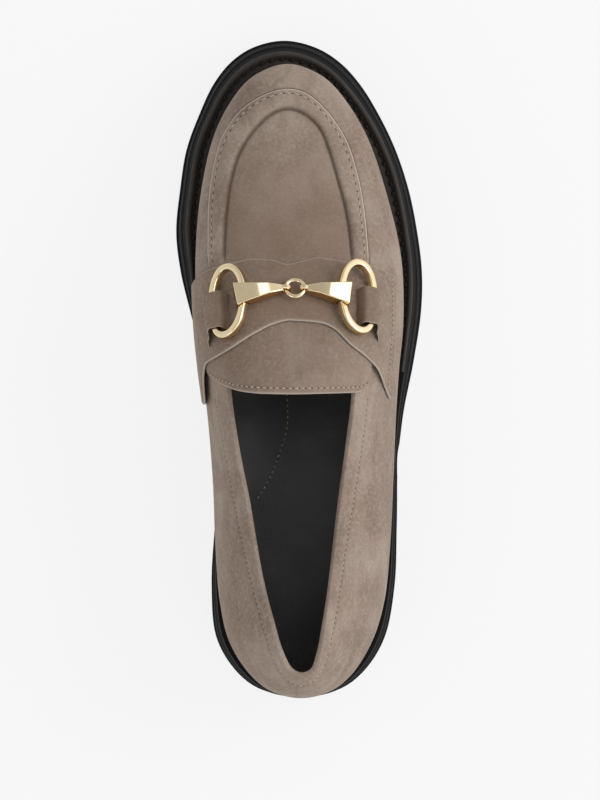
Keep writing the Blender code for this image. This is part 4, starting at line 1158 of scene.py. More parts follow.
    def _relief(self, cuts: Cuts, owner: Array, depth: Array) -> tuple[Array, Array, Array]:
        """How far each point stands proud, its tone and its brownness.

        Args:
            cuts: The cuts.
            owner: The cut that each point is on.
            depth: How far inside the seam each point lies.

        Returns:
            The relief, the tone and the brownness.
        """
        along = cuts.along[owner]
        width = (cuts.seam - cuts.rim)[owner]
        front, rear = smooth(along, 0.640, 0.668), smooth(along, 0.46, 0.42)
        inside = depth - width
        rise = smooth(depth, -0.00005, 0.0004)
        roll = np.sin(math.pi * np.clip((depth - 0.0012) / (width - 0.0012), 0.0, 1.0)) ** 0.8
        apron = self.edge_height * rise + self.puff * roll
        apron -= 0.00030 * bump_at(depth, self.stitch_inset, 0.0004)
        apron -= 0.00016 * bump_at(depth, -0.0002, 0.0004)
        plug = 0.00042 + 0.00035 * smooth(inside, 0.0, 0.006)
        apron = apron + (plug - self.edge_height) * smooth(inside, -0.0007, 0.0004)
        apron -= 0.00065 * bump_at(inside, 0.0, 0.0008)
        fold = 0.0005 * np.sin(math.pi * np.clip(depth / width, 0.0, 1.0)) ** 0.7 * (depth > 0)
        fold -= 0.00032 * bump_at(depth, 0.0, 0.0004)
        proud = apron * front + fold * rear
        raw = smooth(depth, 0.0, 0.00015) * smooth(depth, 0.0009, 0.00065)
        # Paler raw edge of the apron, and painted shadow in the dent just outside it.
        tone = front * (0.85 * raw - 0.95 * bump_at(depth, -0.0002, 0.00028))
        # Painted shade in the stitch groove.
        tone -= front * 0.22 * bump_at(depth, self.stitch_inset, 0.00045)
        # Painted shade in the crease round the apron's plug.
        tone -= front * (0.50 * bump_at(inside, 0.0, 0.0006) + 0.18 * bump_at(inside, 0.0, 0.0020))
        # Painted shade in the fold along the topline's edge.
        tone -= rear * (0.42 * bump_at(depth, 0.0, 0.00035))
        # Painted highlight along the collar's rim.
        tone += rear * 0.12 * bump_at(inside, 0.0, 0.0008)
        back = self.toe_steps + self.side_steps + self.heel_steps // 2
        tone -= 0.35 * (owner == back) * (depth < -0.0006)
        brown = smooth(inside, -0.0005, 0.002) * smooth(along, 0.99, 0.62) * 0.9
        return proud, tone, brown * front

    def _sew(self, outer: Array, normals: Array, rings: list[list[int]], front: list[int]) -> None:
        """Sews the apron and the topline."""
        level = self.FEATHER_ROWS + self.wall_rows
        apron = rings[level + self.SEAM_INSETS.index(self.APRON_INSET)]
        keep = [apron[k] for k in front if along_of(outer[apron[k]][1]) > self.APRON_FROM]
        thread, hole = self.finishes.taupe_thread, self.finishes.hole
        APRON_ROW.sew("apron_stitches", Line(outer[keep], normals[keep]), thread, hole, Slot.SUEDE)
        topline = rings[level + self.SEAM_INSETS.index(self.TOPLINE_INSET)]
        keep = [k for k in topline[self.toe_steps:] if along_of(outer[k][1]) < self.TOPLINE_TO]
        TOPLINE_ROW.sew("topline_stitches", Line(outer[keep], normals[keep]), thread, hole, Slot.SUEDE)


@dataclass
class Overlay:
    """A leather piece that lies on the last, between its front and rear edges."""

    last: Last
    table: Table
    reach: tuple[float, float]
    under: Callable[[Array, Array], Array]
    thickness: float
    columns: int
    rows: int
    soft_edge: float = 0.0009

    def sheet(self) -> tuple[Leather, Array, Array]:
        """Makes the two sheets.

        Returns:
            The leather, and its outer points and normals as grids.
        """
        low, high = self.reach
        shares = low + (high - low) * eased(self.columns, 0.35)
        fronts, rears = (self.table.read(name, shares) for name in ("front", "rear"))
        along = fronts[:, None] + (rears - fronts)[:, None] * eased(self.rows, 0.55)[None]
        share = np.broadcast_to(shares[:, None], along.shape)
        base, normal = self.last.point(along, share), self.last.normal(along, share)
        distance = self._edge_distance(base)
        under = self.under(along, share)
        round_off = self.thickness * 0.35 * (1 - smooth(distance, 0.0, self.soft_edge))
        top = under + self.thickness - round_off
        outer = base + normal * top[..., None]
        inner = base + normal * under[..., None]
        shape = Shape()
        shape.bands([shape.add(column) for column in base], closed=False)
        tone = 0.5 * (1 - smooth(distance, 0.0, 0.0007))
        flat = (outer.reshape(-1, 3), inner.reshape(-1, 3))
        leather = Leather(*flat, shape.faces, self.thickness * 0.18, tone.ravel(), 0.7)
        return leather, outer, normal

    @staticmethod
    def _edge_distance(base: Array) -> Array:
        """How far each point of a grid is from the nearest edge."""
        rows = np.cumsum(np.linalg.norm(np.diff(base, axis=1), axis=2), axis=1)
        rows = np.concatenate([np.zeros((len(base), 1)), rows], axis=1)
        columns = np.cumsum(np.linalg.norm(np.diff(base, axis=0), axis=2), axis=0)
        columns = np.concatenate([np.zeros((1, base.shape[1])), columns], axis=0)
        nearest_row = np.minimum(rows, rows[:, -1:] - rows)
        return np.minimum(nearest_row, np.minimum(columns, columns[-1:] - columns))


def tongue_lift(along: Array, share: Array) -> Array:
    """How far the saddle is lifted by the tongue beneath it, from 0 to 1."""
    return smooth(share, -0.99, -0.90) * smooth(share, 0.88, 0.70) * smooth(along, 0.640, 0.612)


def saddle_offset(along: Array, share: Array) -> Array:
    """How far the saddle's underside stands off the last."""
    return SIZES.leather_gap + (SIZES.tongue_thickness + SIZES.leather_gap) * tongue_lift(along, share)


def tongue_offset(along: Array, share: Array) -> Array:
    """How far the tongue's underside stands off the last, the same everywhere."""
    return np.full(along.shape, SIZES.leather_gap)


@dataclass
class Straps:
    """The tongue, and the saddle strap over it."""

    last: Last
    finishes: Finishes
    tongue_brown: float = 0.45
    tongue_inset: float = 0.0021

    def build(self) -> None:
        """Makes both and sews them."""
        self._tongue()
        self._saddle()

    def _tongue(self) -> None:
        """The rounded top of the vamp, behind the saddle."""
        reach = (-0.88, 0.70)
        overlay = Overlay(self.last, TONGUE_TABLE, reach, tongue_offset, SIZES.tongue_thickness, 130, 60)
        leather, outer, normal = overlay.sheet()
        solid, faces, tones, kinds = leather.solid()
        materials = [self.finishes.suede, self.finishes.lining, self.finishes.raw_edge]
        piece = Piece("tongue_suede", Slot.SUEDE, materials, ("tongue",))
        brown = np.full(len(solid), self.tongue_brown)
        piece.fit(piece.make(solid, faces, {"tone": tones, "brown": brown}, kinds))
        line = self._inset(outer, normal, self.tongue_inset)
        TONGUE_ROW.sew("tongue_stitches", line, self.finishes.taupe_thread, self.finishes.hole, Slot.SUEDE)

    def _inset(self, outer: Array, normal: Array, inset: float) -> Line:
        """A line beside the rear edge of an overlay's grid."""
        back = outer[:, ::-1]
        steps = np.linalg.norm(np.diff(back, axis=1), axis=2)
        lengths = np.concatenate([np.zeros((len(back), 1)), np.cumsum(steps, axis=1)], axis=1)
        points, normals = [], []
        trim = 5
        for column, along, face in zip(back[trim:-trim], lengths[trim:-trim], normal[trim:-trim, ::-1]):
            points.append(between(inset, along, column))
            normals.append(between(inset, along, face))
        return Line(np.array(points), unit(np.array(normals)))

    def _saddle(self) -> None:
        """The strap that carries the bit."""
        reach = (-1.35, 0.90)
        overlay = Overlay(self.last, SADDLE_TABLE, reach, self._saddle_under, SIZES.saddle_thickness, 230, 72)
        leather, outer, normal = overlay.sheet()
        solid, faces, tones, kinds = leather.solid()
        materials = [self.finishes.saddle_suede, self.finishes.lining, self.finishes.raw_edge]
        piece = Piece("saddle_suede", Slot.SADDLE, materials, ("saddle",))
        brown = 0.85 * bump_at(solid[:, 0], -0.001, 0.026)
        piece.fit(piece.make(solid, faces, {"tone": tones, "brown": brown}, kinds))
        for name, column in (("outer", -8), ("inner", 8)):
            line = Line(outer[column, 3:-6], normal[column, 3:-6])
            SADDLE_ROW.sew(f"saddle_stitches_{name}", line, self.finishes.taupe_thread, self.finishes.hole,
                           Slot.SADDLE)

    @staticmethod
    def _saddle_under(along: Array, share: Array) -> Array:
        """The saddle's underside, eased over the apron's band at its front edge."""
        band = smooth(along, 0.622, 0.645) * smooth(abs(share), 0.50, 0.62) * smooth(abs(share), 0.98, 0.84)
        return saddle_offset(along, share) + 0.0007 * band


@dataclass(frozen=True)
class Stand:
    """A flat frame that stands off the saddle. Its side is -1 on the inner side, 1 on the outer."""

    side: int
    origin: Array
    across: Array
    ahead: Array
    normal: Array


@dataclass
class Bit:
    """The gilt bit: two cheek rings, two wedge bars and a centre ring, and a suede keeper at each end."""

    BAR_SECTIONS: ClassVar[tuple[tuple[float, float, float], ...]] = (
        (0.0, 0.0, 0.0), (0.30, 0.52, 1.20), (0.60, 0.86, 1.14), (1.0, 1.0, 1.0),
    )
    last: Last
    finishes: Finishes
    bar_edge: float = 0.00038
    ring_half_across: float = 0.0068
    ring_half_along: float = 0.0142
    ring_swell: float = 0.23
    ring_wire_width: float = 0.0027
    ring_wire_depth: float = 0.0034
    bar_wide: float = 0.0093
    bar_wide_depth: float = 0.0056
    bar_narrow: float = 0.0026
    bar_narrow_depth: float = 0.0028
    bar_overhang: float = 0.0036
    eye_radius: float = 0.00205
    eye_width: float = 0.0018
    centre_radius: float = 0.0036
    centre_wire: float = 0.00080
    centre_lift: float = 0.0026
    cheek_lift: float = 0.0026
    cheek_lean: float = 0.09
    wire_gap: float = 0.00035
    eye_play: float = 0.00050
    keeper_thickness: float = 0.0012
    keeper_length: float = 0.0146
    keeper_ahead: float = 0.0040
    keeper_inward: float = 0.0048
    keeper_outward: float = 0.0021
    keeper_foot: float = 0.0011
    keeper_point: float = 0.0042

    def build(self, saddle: bpy.types.Object) -> None:
        """Makes the bit and its keepers.

        Args:
            saddle: The saddle, on which the keepers' feet stand.
        """
        centre = self._stand(0, -0.016, 0.603, self.centre_lift, 0.0)
        self._centre_ring(centre)
        surface = surface_of(saddle)
        cheeks = (("inner", -0.249, 0.5867, -1, 2), ("outer", 0.2024, 0.5938, 1, 182))
        for name, across, along, side, turn in cheeks:
            stand = self._stand(side, across, along, self.cheek_lift, side * self.cheek_lean)
            self._cheek_ring(name, stand)
            self._bar(name, stand, centre, side, turn)
            self._keeper(name, stand, side, surface)

    def _stand(self, side: int, across: float, along: float, lift: float, lean: float) -> Stand:
        """The frame at a place on the saddle.

        Args:
            side: -1 for a piece on the inner side, 1 on the outer, 0 in the middle.
            across: The place's x, as a share of the sole's width.
            along: Its place along the shoe.
            lift: How far it stands off the saddle.
            lean: How much further out the place is from which it takes its tilt.

        Returns:
            The frame.
        """
        place = np.array([along])
        offset = across * SIZES.sole_width - spine_x(along)
        edge = self.last.sides[1.0 if offset >= 0 else -1.0]["edge"]
        share = np.array([offset / np.interp(along, self.last.samples, edge)])
        height = saddle_offset(place, share) + SIZES.saddle_thickness + lift
        origin = (self.last.point(place, share) + self.last.normal(place, share) * height[:, None])[0]
        normal = self.last.normal(place, share + lean)[0]
        ahead = unit(np.array((0.0, normal[2], -normal[1])))
        return Stand(side, origin, np.cross(ahead, normal), ahead, normal)

    def _ring_point(self, stand: Stand, turn: Array) -> Array:
        """Points of a cheek ring's centre line, a rounded long oval that is fuller towards the bar."""
        turn = np.atleast_1d(turn)
        cos, sin = np.cos(turn), np.sin(turn)
        half = self.ring_half_across * (1 + self.ring_swell * np.maximum(-stand.side * cos, 0.0))
        sideways = half * np.sign(cos) * abs(cos) ** 0.88
        along = self.ring_half_along * np.sign(sin) * abs(sin) ** 0.88
        return stand.origin + stand.across * sideways[:, None] + stand.ahead * along[:, None]

    @staticmethod
    def _tube(centres: Array, normal: Array, section: Array) -> Shape:
        """A closed tube round a closed path, with a section of (sideways, up) points."""
        tangent = unit(np.roll(centres, -1, axis=0) - np.roll(centres, 1, axis=0))
        sideways = np.cross(tangent, normal)
        shape = Shape()
        up = normal * section[:, 1:]
        rows = [shape.add(c + s * section[:, :1] + up) for c, s in zip(centres, sideways)]
        shape.bands(rows + rows[:1])
        return shape

    @staticmethod
    def _rounded(width: float, depth: float, square: float, count: int) -> Array:
        """A rounded rectangle. A higher square makes its corners tighter."""
        turns = 2 * math.pi * (np.arange(count) + 0.5) / count
        cos, sin = np.cos(turns), np.sin(turns)
        across = width / 2 * np.sign(cos) * abs(cos) ** (2 / square)
        return np.stack([across, depth / 2 * np.sign(sin) * abs(sin) ** (2 / square)], axis=1)

    def _ring_shape(self, stand: Stand, grow: float = 0.0, steps: int = 120, count: int = 28) -> Shape:
        """A cheek ring's mesh."""
        turns = 2 * math.pi * np.arange(steps) / steps
        section = self._rounded(self.ring_wire_width + 2 * grow, self.ring_wire_depth + 2 * grow, 4.5, count)
        return self._tube(self._ring_point(stand, turns), stand.normal, section)

    def _cheek_ring(self, name: str, stand: Stand) -> None:
        """One cheek ring."""
        piece = Piece(f"cheek_ring_{name}", Slot.GILT, [self.finishes.gilt], (f"bit_ring_{name}",), sharp=180)
        piece.add(self._ring_shape(stand))

    def _centre_shape(self, stand: Stand, wire: float) -> Shape:
        """The centre ring's mesh."""
        turns = round_turns(72)
        circle = (stand.across * np.cos(turns) + stand.ahead * np.sin(turns)) * self.centre_radius
        return self._tube(stand.origin + circle, stand.normal, self._rounded(2 * wire, 2 * wire, 2.0, 20))

    def _centre_ring(self, stand: Stand) -> None:
        """The ring that joins the bars, on its own body."""
        piece = Piece("centre_ring", Slot.GILT, [self.finishes.gilt], ("bit_centre_ring",), BIT_RING, 180)
        piece.add(self._centre_shape(stand, self.centre_wire))

    def _bar(self, name: str, stand: Stand, centre: Stand, side: int, turn: float) -> None:
        """A wedge bar: its broad end holds the cheek ring's inner leg, its narrow end an eye.

        Args:
            name: Which bar.
            stand: Its cheek ring's frame.
            centre: The centre ring's frame.
            side: -1 on the inner side, 1 on the outer.
            turn: How far round the cheek ring the bar holds it, in degrees.
        """
        eye = centre.origin + centre.across * side * self.centre_radius
        leg = self._ring_point(stand, math.radians(turn))[0]
        line = unit(leg - eye)
        end, start = leg + line * self.bar_overhang, eye + line * self.eye_radius * 0.6
        wide_by, deep_by = self.bar_wide - self.bar_narrow, self.bar_wide_depth - self.bar_narrow_depth
        shape = Shape()
        rows = []
        for share, below, above in self.BAR_SECTIONS:
            forward = centre.ahead * (1 - share) + stand.ahead * share
            forward = unit(forward - line * forward.dot(line))
            up = np.cross(line, forward) * -side
            half = (self.bar_narrow + wide_by * share) / 2
            low, high = ((self.bar_narrow_depth + deep_by * part) / 2 for part in (below, above))
            corners = np.array(((half, -high), (half, low), (-half, low), (-half, -high)))
            place = start + (end - start) * share
            rows.append(shape.add(place + forward * corners[:, :1] + up * corners[:, 1:]))
        shape.rod(rows)
        piece = Piece(f"bit_bar_gilt_{name}", Slot.GILT, [self.finishes.gilt], (f"bit_bar_{name}",), sharp=32)
        bar = turned_out(piece.make(shape.all_points(), shape.faces))
        bevel = bar.modifiers.new("edges", "BEVEL")
        bevel.width, bevel.segments = self.bar_edge, 4
        bevel.limit_method, bevel.angle_limit = "ANGLE", math.radians(40)
        hole = self._centre_shape(centre, self.centre_wire + self.eye_play)
        tools = (
            (self._eye_shape(eye, centre), "UNION"),
            (self._ring_shape(stand, self.wire_gap, 64, 16), "DIFFERENCE"),
            (hole, "DIFFERENCE"),
        )
        cut_shape(bar, tools)
        piece.fit(bar)

    def _eye_shape(self, eye: Array, centre: Stand) -> Shape:
        """The disc that becomes the eye at a bar's narrow end, with its axis along the wire."""
        turns = round_turns(28, 0.5)
        circle = centre.across * np.cos(turns) + centre.normal * np.sin(turns)
        shape = Shape()
        rows = []
        for place, radius in ((-0.5, 0.86), (-0.36, 1.0), (0.36, 1.0), (0.5, 0.86)):
            middle = eye + centre.ahead * place * self.eye_width
            rows.append(shape.add(middle + circle * self.eye_radius * radius))
        shape.rod(rows)
        return shape

    def _keeper(self, name: str, stand: Stand, side: int, surface: BVHTree) -> None:
        """The suede loop that holds a cheek ring's outer leg down on the saddle.

        Args:
            name: Which keeper.
            stand: Its cheek ring's frame.
            side: -1 on the inner side, 1 on the outer.
            surface: The saddle's faces.
        """
        outward = stand.across * side
        leg = stand.origin + outward * self.ring_half_across
        outer, inner = [], []
        for share in np.linspace(0, 1, 34):
            place = leg + stand.ahead * (self.keeper_ahead - self.keeper_length * share)
            drop = float(smooth(share, 0.55, 1.0))
            point = stand.ahead * -self.keeper_point * share * share
            for rows, thick in ((outer, self.keeper_thickness), (inner, 0.0)):
                rows.append(self._arch(place, outward, point, stand.normal, thick, drop, surface))
        shape = Shape()
        shape.bands([shape.add(row) for row in outer], closed=False)
        over = np.linspace(0, 1, len(outer[0]))
        # Paler raw edge at the outer foot, and painted shade on the inner side where the loop curves down.
        tone = np.tile(0.55 * smooth(over, 0.93, 0.98) - 0.35 * smooth(over, 0.45, 0.10), len(outer))
        leather = Leather(np.concatenate(outer), np.concatenate(inner), shape.faces, 0.0003, tone, 0.5)
        solid, faces, tones, kinds = leather.solid()
        brown = np.zeros(len(solid))
        # Painted shade: the inner side is browned darker where it curves down to the saddle.
        brown[:shape.count] = np.tile(0.7 * smooth(over, 0.60, 0.30), len(outer))
        materials = [self.finishes.saddle_suede] * 3
        piece = Piece(f"keeper_loop_{name}", Slot.SADDLE, materials, (f"keeper_{name}",), sharp=60)
        piece.fit(turned_out(piece.make(solid, faces, {"tone": tones, "brown": brown}, kinds)))

    def _arch(self, leg: Array, outward: Array, point: Array, normal: Array, thick: float, drop: float,
              surface: BVHTree) -> Array:
        """One arch over the leg, both feet on the saddle. Its outer side reaches further back and drops."""
        top = self.ring_wire_depth / 2 + self.wire_gap
        near, far = self.keeper_inward, self.keeper_outward
        taper = 1 - 0.45 * drop
        crest, shoulder = top + thick * taper, top * 0.92 + thick * 0.5 * taper
        rest, flat, skirt = 1 - drop, 0.8 * thick - 0.5 * top, 0.8 * thick - 0.95 * top
        outline = ((-near - thick, -0.2 * top), (-near * 0.95 - thick * 0.6, shoulder), (-near * 0.55, crest),
                   (0.0, crest * 1.04), (far * 0.5, crest - 0.25 * top * drop),
                   (far * (0.95 + 0.1 * drop) + thick * 0.6 * rest, shoulder * rest + flat * drop),
                   (far * (1 + 0.6 * drop) + thick * rest, -0.2 * top * rest + skirt * drop))
        foot = self.keeper_foot + thick * 0.2
        points = [self._foot(leg - outward * (near + foot), normal, surface)]
        for sideways, up in outline:
            points.append(leg + outward * sideways + normal * up + point * max(sideways / far, 0.0) * 0.5)
        points.append(self._foot(leg + outward * (far * (1 + 0.7 * drop) + foot) + point, normal, surface))
        return soft_line(np.array(points), 5)

    def _foot(self, point: Array, normal: Array, surface: BVHTree) -> Array:
        """The point moved along the normal until it is just off the saddle."""
        search = 0.006
        hit = surface.ray_cast(Vector(point + normal * search), Vector(-normal), 3 * search)[0]
        if hit is None:
            return point - normal * self.ring_wire_depth / 2
        return np.array(hit) + normal * 0.0001


def soft_line(points: Array, steps: int) -> Array:
    """A smooth curve through points, with so many steps between each two."""
    padded = np.concatenate([[2 * points[0] - points[1]], points, [2 * points[-1] - points[-2]]])
    result = []
    for i in range(1, len(padded) - 2):
        a, b, c, d = padded[i - 1:i + 3]
        for k in range(steps):
            t = k / steps
            start, end = (c - a) / 2, (d - b) / 2
            result.append(b * (1 + 2 * t) * (1 - t) ** 2 + c * t * t * (3 - 2 * t)
                          + start * t * (1 - t) ** 2 - end * t * t * (1 - t))
    result.append(points[-1])
    return np.array(result)


def surface_of(item: bpy.types.Object) -> BVHTree:
    """The faces of an object, for finding where a line meets them."""
    points = [vertex.co.copy() for vertex in item.data.vertices]
    return BVHTree.FromPolygons(points, [tuple(face.vertices) for face in item.data.polygons])


def cut_shape(item: bpy.types.Object, tools: Sequence[tuple[Shape, str]]) -> None:
    """Cuts shapes from an object, or joins them on, and applies the result.

    Args:
        item: The object.
        tools: Each shape with its Boolean operation.
    """
    helpers = []
    for shape, operation in tools:
        mesh = bpy.data.meshes.new("tool")
        mesh.from_pydata(shape.all_points().tolist(), [], shape.faces)
        helper = bpy.data.objects.new("tool", mesh)
        bpy.context.scene.collection.objects.link(helper)
        turned_out(helper)
        helpers.append(helper)
        modifier = item.modifiers.new("cut", "BOOLEAN")
        modifier.object, modifier.operation = helper, operation
    graph = bpy.context.evaluated_depsgraph_get()
    mesh = bpy.data.meshes.new_from_object(item.evaluated_get(graph))
    item.modifiers.clear()
    item.data = mesh
    for helper in helpers:
        bpy.data.objects.remove(helper)


@dataclass
class Sole:
    """The lug sole, the storm welt on its ledge and the insole on top."""

    SIDE_PROFILE: ClassVar[tuple[tuple[float, float, float], ...]] = (
        (0.0, 0.00, 0.000), (0.0, 0.00, 0.300), (0.12, 0.01, 0.316), (0.88, 0.03, 0.334), (1.0, 0.05, 0.350),
        (1.0, 0.36, 0.630), (0.90, 0.385, 0.648), (0.45, 0.42, 0.664), (0.4, 0.45, 0.685), (0.4, 0.60, 0.790),
        (0.47, 0.63, 0.808), (0.92, 0.66, 0.824), (1.0, 0.68, 0.840), (1.0, 0.97, 0.975), (1.14, 1.00, 1.0),
    )
    FOOTBED_STEPS: ClassVar[int] = 26
    last: Last
    finishes: Finishes
    lug_pitch: float = 0.0142
    lug_gap: float = 0.0042
    lug_height: float = 0.0058
    lug_reach: float = 0.0100
    tread_pitch: float = 0.0165
    tread_depth: float = 0.0035
    tread_width: float = 0.0500
    rib_height: float = 0.0032
    welt_floor: float = 0.0016
    rib_width: float = 0.0024

    def build(self) -> None:
        """Makes the sole, the welt and the insole."""
        self._outsole()
        self._welt()
        self._insole()

    def _outsole(self) -> None:
        """One block with a stepped side, cut under the arch and between the lugs."""
        cuts, spine = self.last.round(84, 76, 60)
        shape = Shape()
        rows = []
        for step, flare, share in self.SIDE_PROFILE:
            distance = cuts.sole - SIZES.side_step * step - cuts.flare() * flare
            place = cuts.plan(distance)
            along = along_of(place[:, 1])
            low = spring_height(along)
            rows.append(shape.add(with_height(place, low + (sole_top(along) - low) * share)))
        shape.bands(rows)
        for height, ring in ((spring_height, rows[0]), (sole_top, rows[-1])):
            levels = [ring]
            for share in (0.85, 0.55, 0.25):
                place = cuts.plan(cuts.sole * share)
                levels.append(shape.add(with_height(place, height(along_of(place[:, 1])))))
            middle = self._middle(cuts, spine)
            first = shape.add(with_height(middle, height(along_of(middle[:, 1]))))[0]
            levels.append([first + number for number in spine])
            shape.bands(levels)
        piece = Piece("outsole_rubber", Slot.RUBBER, [self.finishes.rubber], ("outsole",), sharp=32)
        item = self._closed(piece, shape)
        cut_shape(item, ((self._arch_tool(), "DIFFERENCE"), (self._lug_tool(), "DIFFERENCE"),
                         (self._tread_tool(), "DIFFERENCE")))
        item.data.set_sharp_from_angle(angle=math.radians(32))
        piece.fit(item)

    @staticmethod
    def _middle(cuts: Cuts, spine: list[int]) -> Array:
        """The points down the middle in plan, in the order of the spine's numbers."""
        centres = dict(zip(spine, cuts.centres))
        return np.array([centres[number] for number in sorted(centres)])

    @staticmethod
    def _closed(piece: Piece, shape: Shape) -> bpy.types.Object:
        """The object with every face wound outwards."""
        item = piece.make(shape.all_points(), shape.faces)
        mesh = bmesh.new()
        mesh.from_mesh(item.data)
        bmesh.ops.recalc_face_normals(mesh, faces=mesh.faces)
        mesh.to_mesh(item.data)
        mesh.free()
        return item

    def _arch_tool(self) -> Shape:
        """The space under the waist."""
        along = np.linspace(PLACES.breast, PLACES.arch_end, 40)
        height = SIZES.arch_lift * ARCH_LINE.read("lift", along)
        profile = [(y_of(PLACES.breast), -0.01), *zip(y_of(along), height), (y_of(PLACES.arch_end), -0.01)]
        shape = Shape()
        ends = (-SIZES.sole_width, SIZES.sole_width)
        shape.rod([shape.add(np.array([(x, y, z) for y, z in profile])) for x in ends])
        return shape

    @staticmethod
    def _box(shape: Shape, corners: Array, low: Array, high: Array) -> None:
        """A box on four corners in plan."""
        shape.rod([shape.add(np.column_stack([corners, heights])) for heights in (low, high)])

    def _lug_tool(self) -> Shape:
        """The gaps between the lugs round the edge of the tread."""
        curve = self.last.outlines["sole"].points
        curve = np.vstack([curve, curve[:1]])
        lengths = np.concatenate([[0], np.cumsum(np.linalg.norm(np.diff(curve, axis=0), axis=1))])
        count = int(lengths[-1] / self.lug_pitch)
        shape = Shape()
        for k in range(count):
            at = lengths[-1] * (k + 0.5) / count
            place, ahead = between(at, lengths, curve), between(at + 0.001, lengths, curve)
            if PLACES.breast - 0.02 < along_of(place[1]) < PLACES.arch_end + 0.01:
                continue
            tangent = unit(ahead - place)
            outward = np.array((tangent[1], -tangent[0]))
            corners = []
            for out, sideways in ((-self.lug_reach, -1), (-self.lug_reach, 1), (0.004, 1), (0.004, -1)):
                corners.append(place + outward * out + tangent * sideways * self.lug_gap / 2)
            corners = np.array(corners)
            top = spring_height(along_of(corners[:, 1])) + self.lug_height
            self._box(shape, corners, np.full(4, -0.002), top)
        return shape

    def _tread_tool(self) -> Shape:
        """Straight grooves across the middle of the tread."""
        shape = Shape()
        for start, end in ((0.05, PLACES.breast - 0.03), (PLACES.arch_end + 0.035, 0.90)):
            grooves = int((end - start) * SIZES.sole_length / self.tread_pitch)
            for k in range(grooves + 1):
                along = start + k * self.tread_pitch / SIZES.sole_length
                centre = np.array([(spine_x(along), y_of(along))])
                edge = self.last.outlines["sole"]
                reach = min(edge.reach(centre, np.array([(side, 0.0)]))[0] for side in (-1.0, 1.0))
                width = min(self.tread_width, 2 * reach - 2 * self.lug_reach - 0.008)
                corners = centre + np.array(((-1, -1), (1, -1), (1, 1), (-1, 1))) * (width, self.lug_gap) / 2
                top = spring_height(along) + self.tread_depth
                self._box(shape, corners, np.full(4, -0.002), np.full(4, top))
        return shape

    def _welt(self) -> None:
        """The strip on the ledge round the forefoot: a rib outside and a stitching groove inside."""
        cuts, _ = self.last.round(120, 110, 90)
        outer_end, inner_end = 55, 45
        order = np.arange(-outer_end, 121 + inner_end)
        outer, inner = cuts.sole_upper_edge() - SIZES.gap, cuts.edge - SIZES.tuck * 0.3
        rib = np.minimum(self.rib_width, (outer - inner) * 0.52)
        floor = self.welt_floor
        section = (
            (0, 0.0, 0.0), (0, 0.0, self.rib_height * 0.62), (0, 0.10, self.rib_height * 0.82),
            (0, 0.26, self.rib_height * 0.96), (0, 0.48, self.rib_height), (0, 0.70, self.rib_height * 0.94),
            (0, 0.86, self.rib_height * 0.76), (0, 1.0, floor * 0.95), (0, 1.25, floor * 0.72),
            (0, 1.6, floor * 0.70), (0, 1.9, floor * 0.85), (1, 0.30, floor * 1.05),
            (1, 0.0, floor * 1.1), (1, 0.0, 0.0),
        )
        shape = Shape()
        rows = []
        for from_inner, share, height in section:
            distance = inner + rib * share if from_inner else np.maximum(outer - rib * share, inner)
            place = cuts.plan(distance)
            top = sole_top(along_of(place[:, 1])) + SIZES.gap + height
            rows.append(with_height(place, top)[order])
        grid = np.stack(rows, axis=1)
        numbers = [shape.add(column) for column in grid]
        shape.bands(numbers)
        shape.lid(numbers[0])
        shape.lid(numbers[-1][::-1])
        # Painted shade: the groove floor and the channel next to the upper are darkened through the tone
        # mark.
        tone = np.tile([0, 0, 0, 0, 0, 0, 0, -0.3, -0.4, -0.4, -0.4, -0.6, -0.8, 0], len(numbers))
        Piece("welt_strip", Slot.WELT, [self.finishes.welt], ("welt",), sharp=70).add(shape, {"tone": tone})
        thread = self.finishes.black_thread
        line = Line(grid[:, 8] + np.array((0, 0, 0.0002)), np.tile((0.0, 0.0, 1.0), (len(grid), 1)))
        WELT_ROW.sew("welt_stitches", line, thread, thread, Slot.WELT)

    def _insole(self) -> None:
        """The footbed, raised at the inner arch and softly cupped at its edge."""
        cuts, spine = self.last.round(90, 90, 70)
        feather = np.linalg.norm(cuts.points(np.full((len(spine), 1), 2.0))[:, 0, :2] - cuts.centres, axis=1)
        outer = feather - SIZES.wall - 2 * SIZES.gap
        shape = Shape()
        rows = []
        sections = [(1.0, 0.0), (1.0, 0.7), (0.992, 0.93), (0.975, 1.0)]
        sections += [(0.975 * (1 - k / self.FOOTBED_STEPS), 1.0) for k in range(1, self.FOOTBED_STEPS)]
        for share, height in sections:
            place = cuts.plan(outer * share)
            rows.append(shape.add(self._footbed(place, SIZES.insole_thickness * height, height > 0.9)))
        shape.bands(rows)
        middle = self._middle(cuts, spine)
        first = shape.add(self._footbed(middle, SIZES.insole_thickness, True))[0]
        shape.band(rows[-1], [first + number for number in spine])
        low = shape.add(self._footbed(middle, 0.0, False))[0]
        shape.band([low + number for number in spine], rows[0])
        piece = Piece("insole_footbed", Slot.INSOLE, [self.finishes.insole], ("insole",), sharp=60)
        piece.fit(self._closed(piece, shape))
        self._arch_stitches()

    @staticmethod
    def _footbed(place: Array, height: float, top: bool) -> Array:
        """Points of the footbed over places in plan."""
        along = along_of(place[:, 1])
        rise = sole_top(along) + SIZES.gap + height
        if top:
            arch = smooth(along, 0.28, 0.42) * smooth(along, 0.66, 0.52)
            inward = smooth(spine_x(along) - place[:, 0], 0.0, 0.3 * SIZES.sole_width)
            rise = rise + SIZES.arch_pad * arch * inward
        return with_height(place, rise)

    def _arch_stitches(self) -> None:
        """The cream row round the arch pad."""
        bends = np.array([(-0.0045, 0.0140), (-0.0048, -0.0100), (-0.0048, -0.0236), (-0.0080, -0.0345),
                          (-0.0118, -0.0443), (-0.0172, -0.0531)])
        place = soft_line(np.column_stack([bends, np.zeros(len(bends))]), 12)[:, :2]
        points = self._footbed(place, SIZES.insole_thickness, True)
        points[:, 2] += 0.00005
        line = Line(points, np.tile((0.0, 0.0, 1.0), (len(points), 1)))
        INSOLE_ROW.sew("insole_stitches", line, self.finishes.cream_thread, self.finishes.hole, Slot.INSOLE)


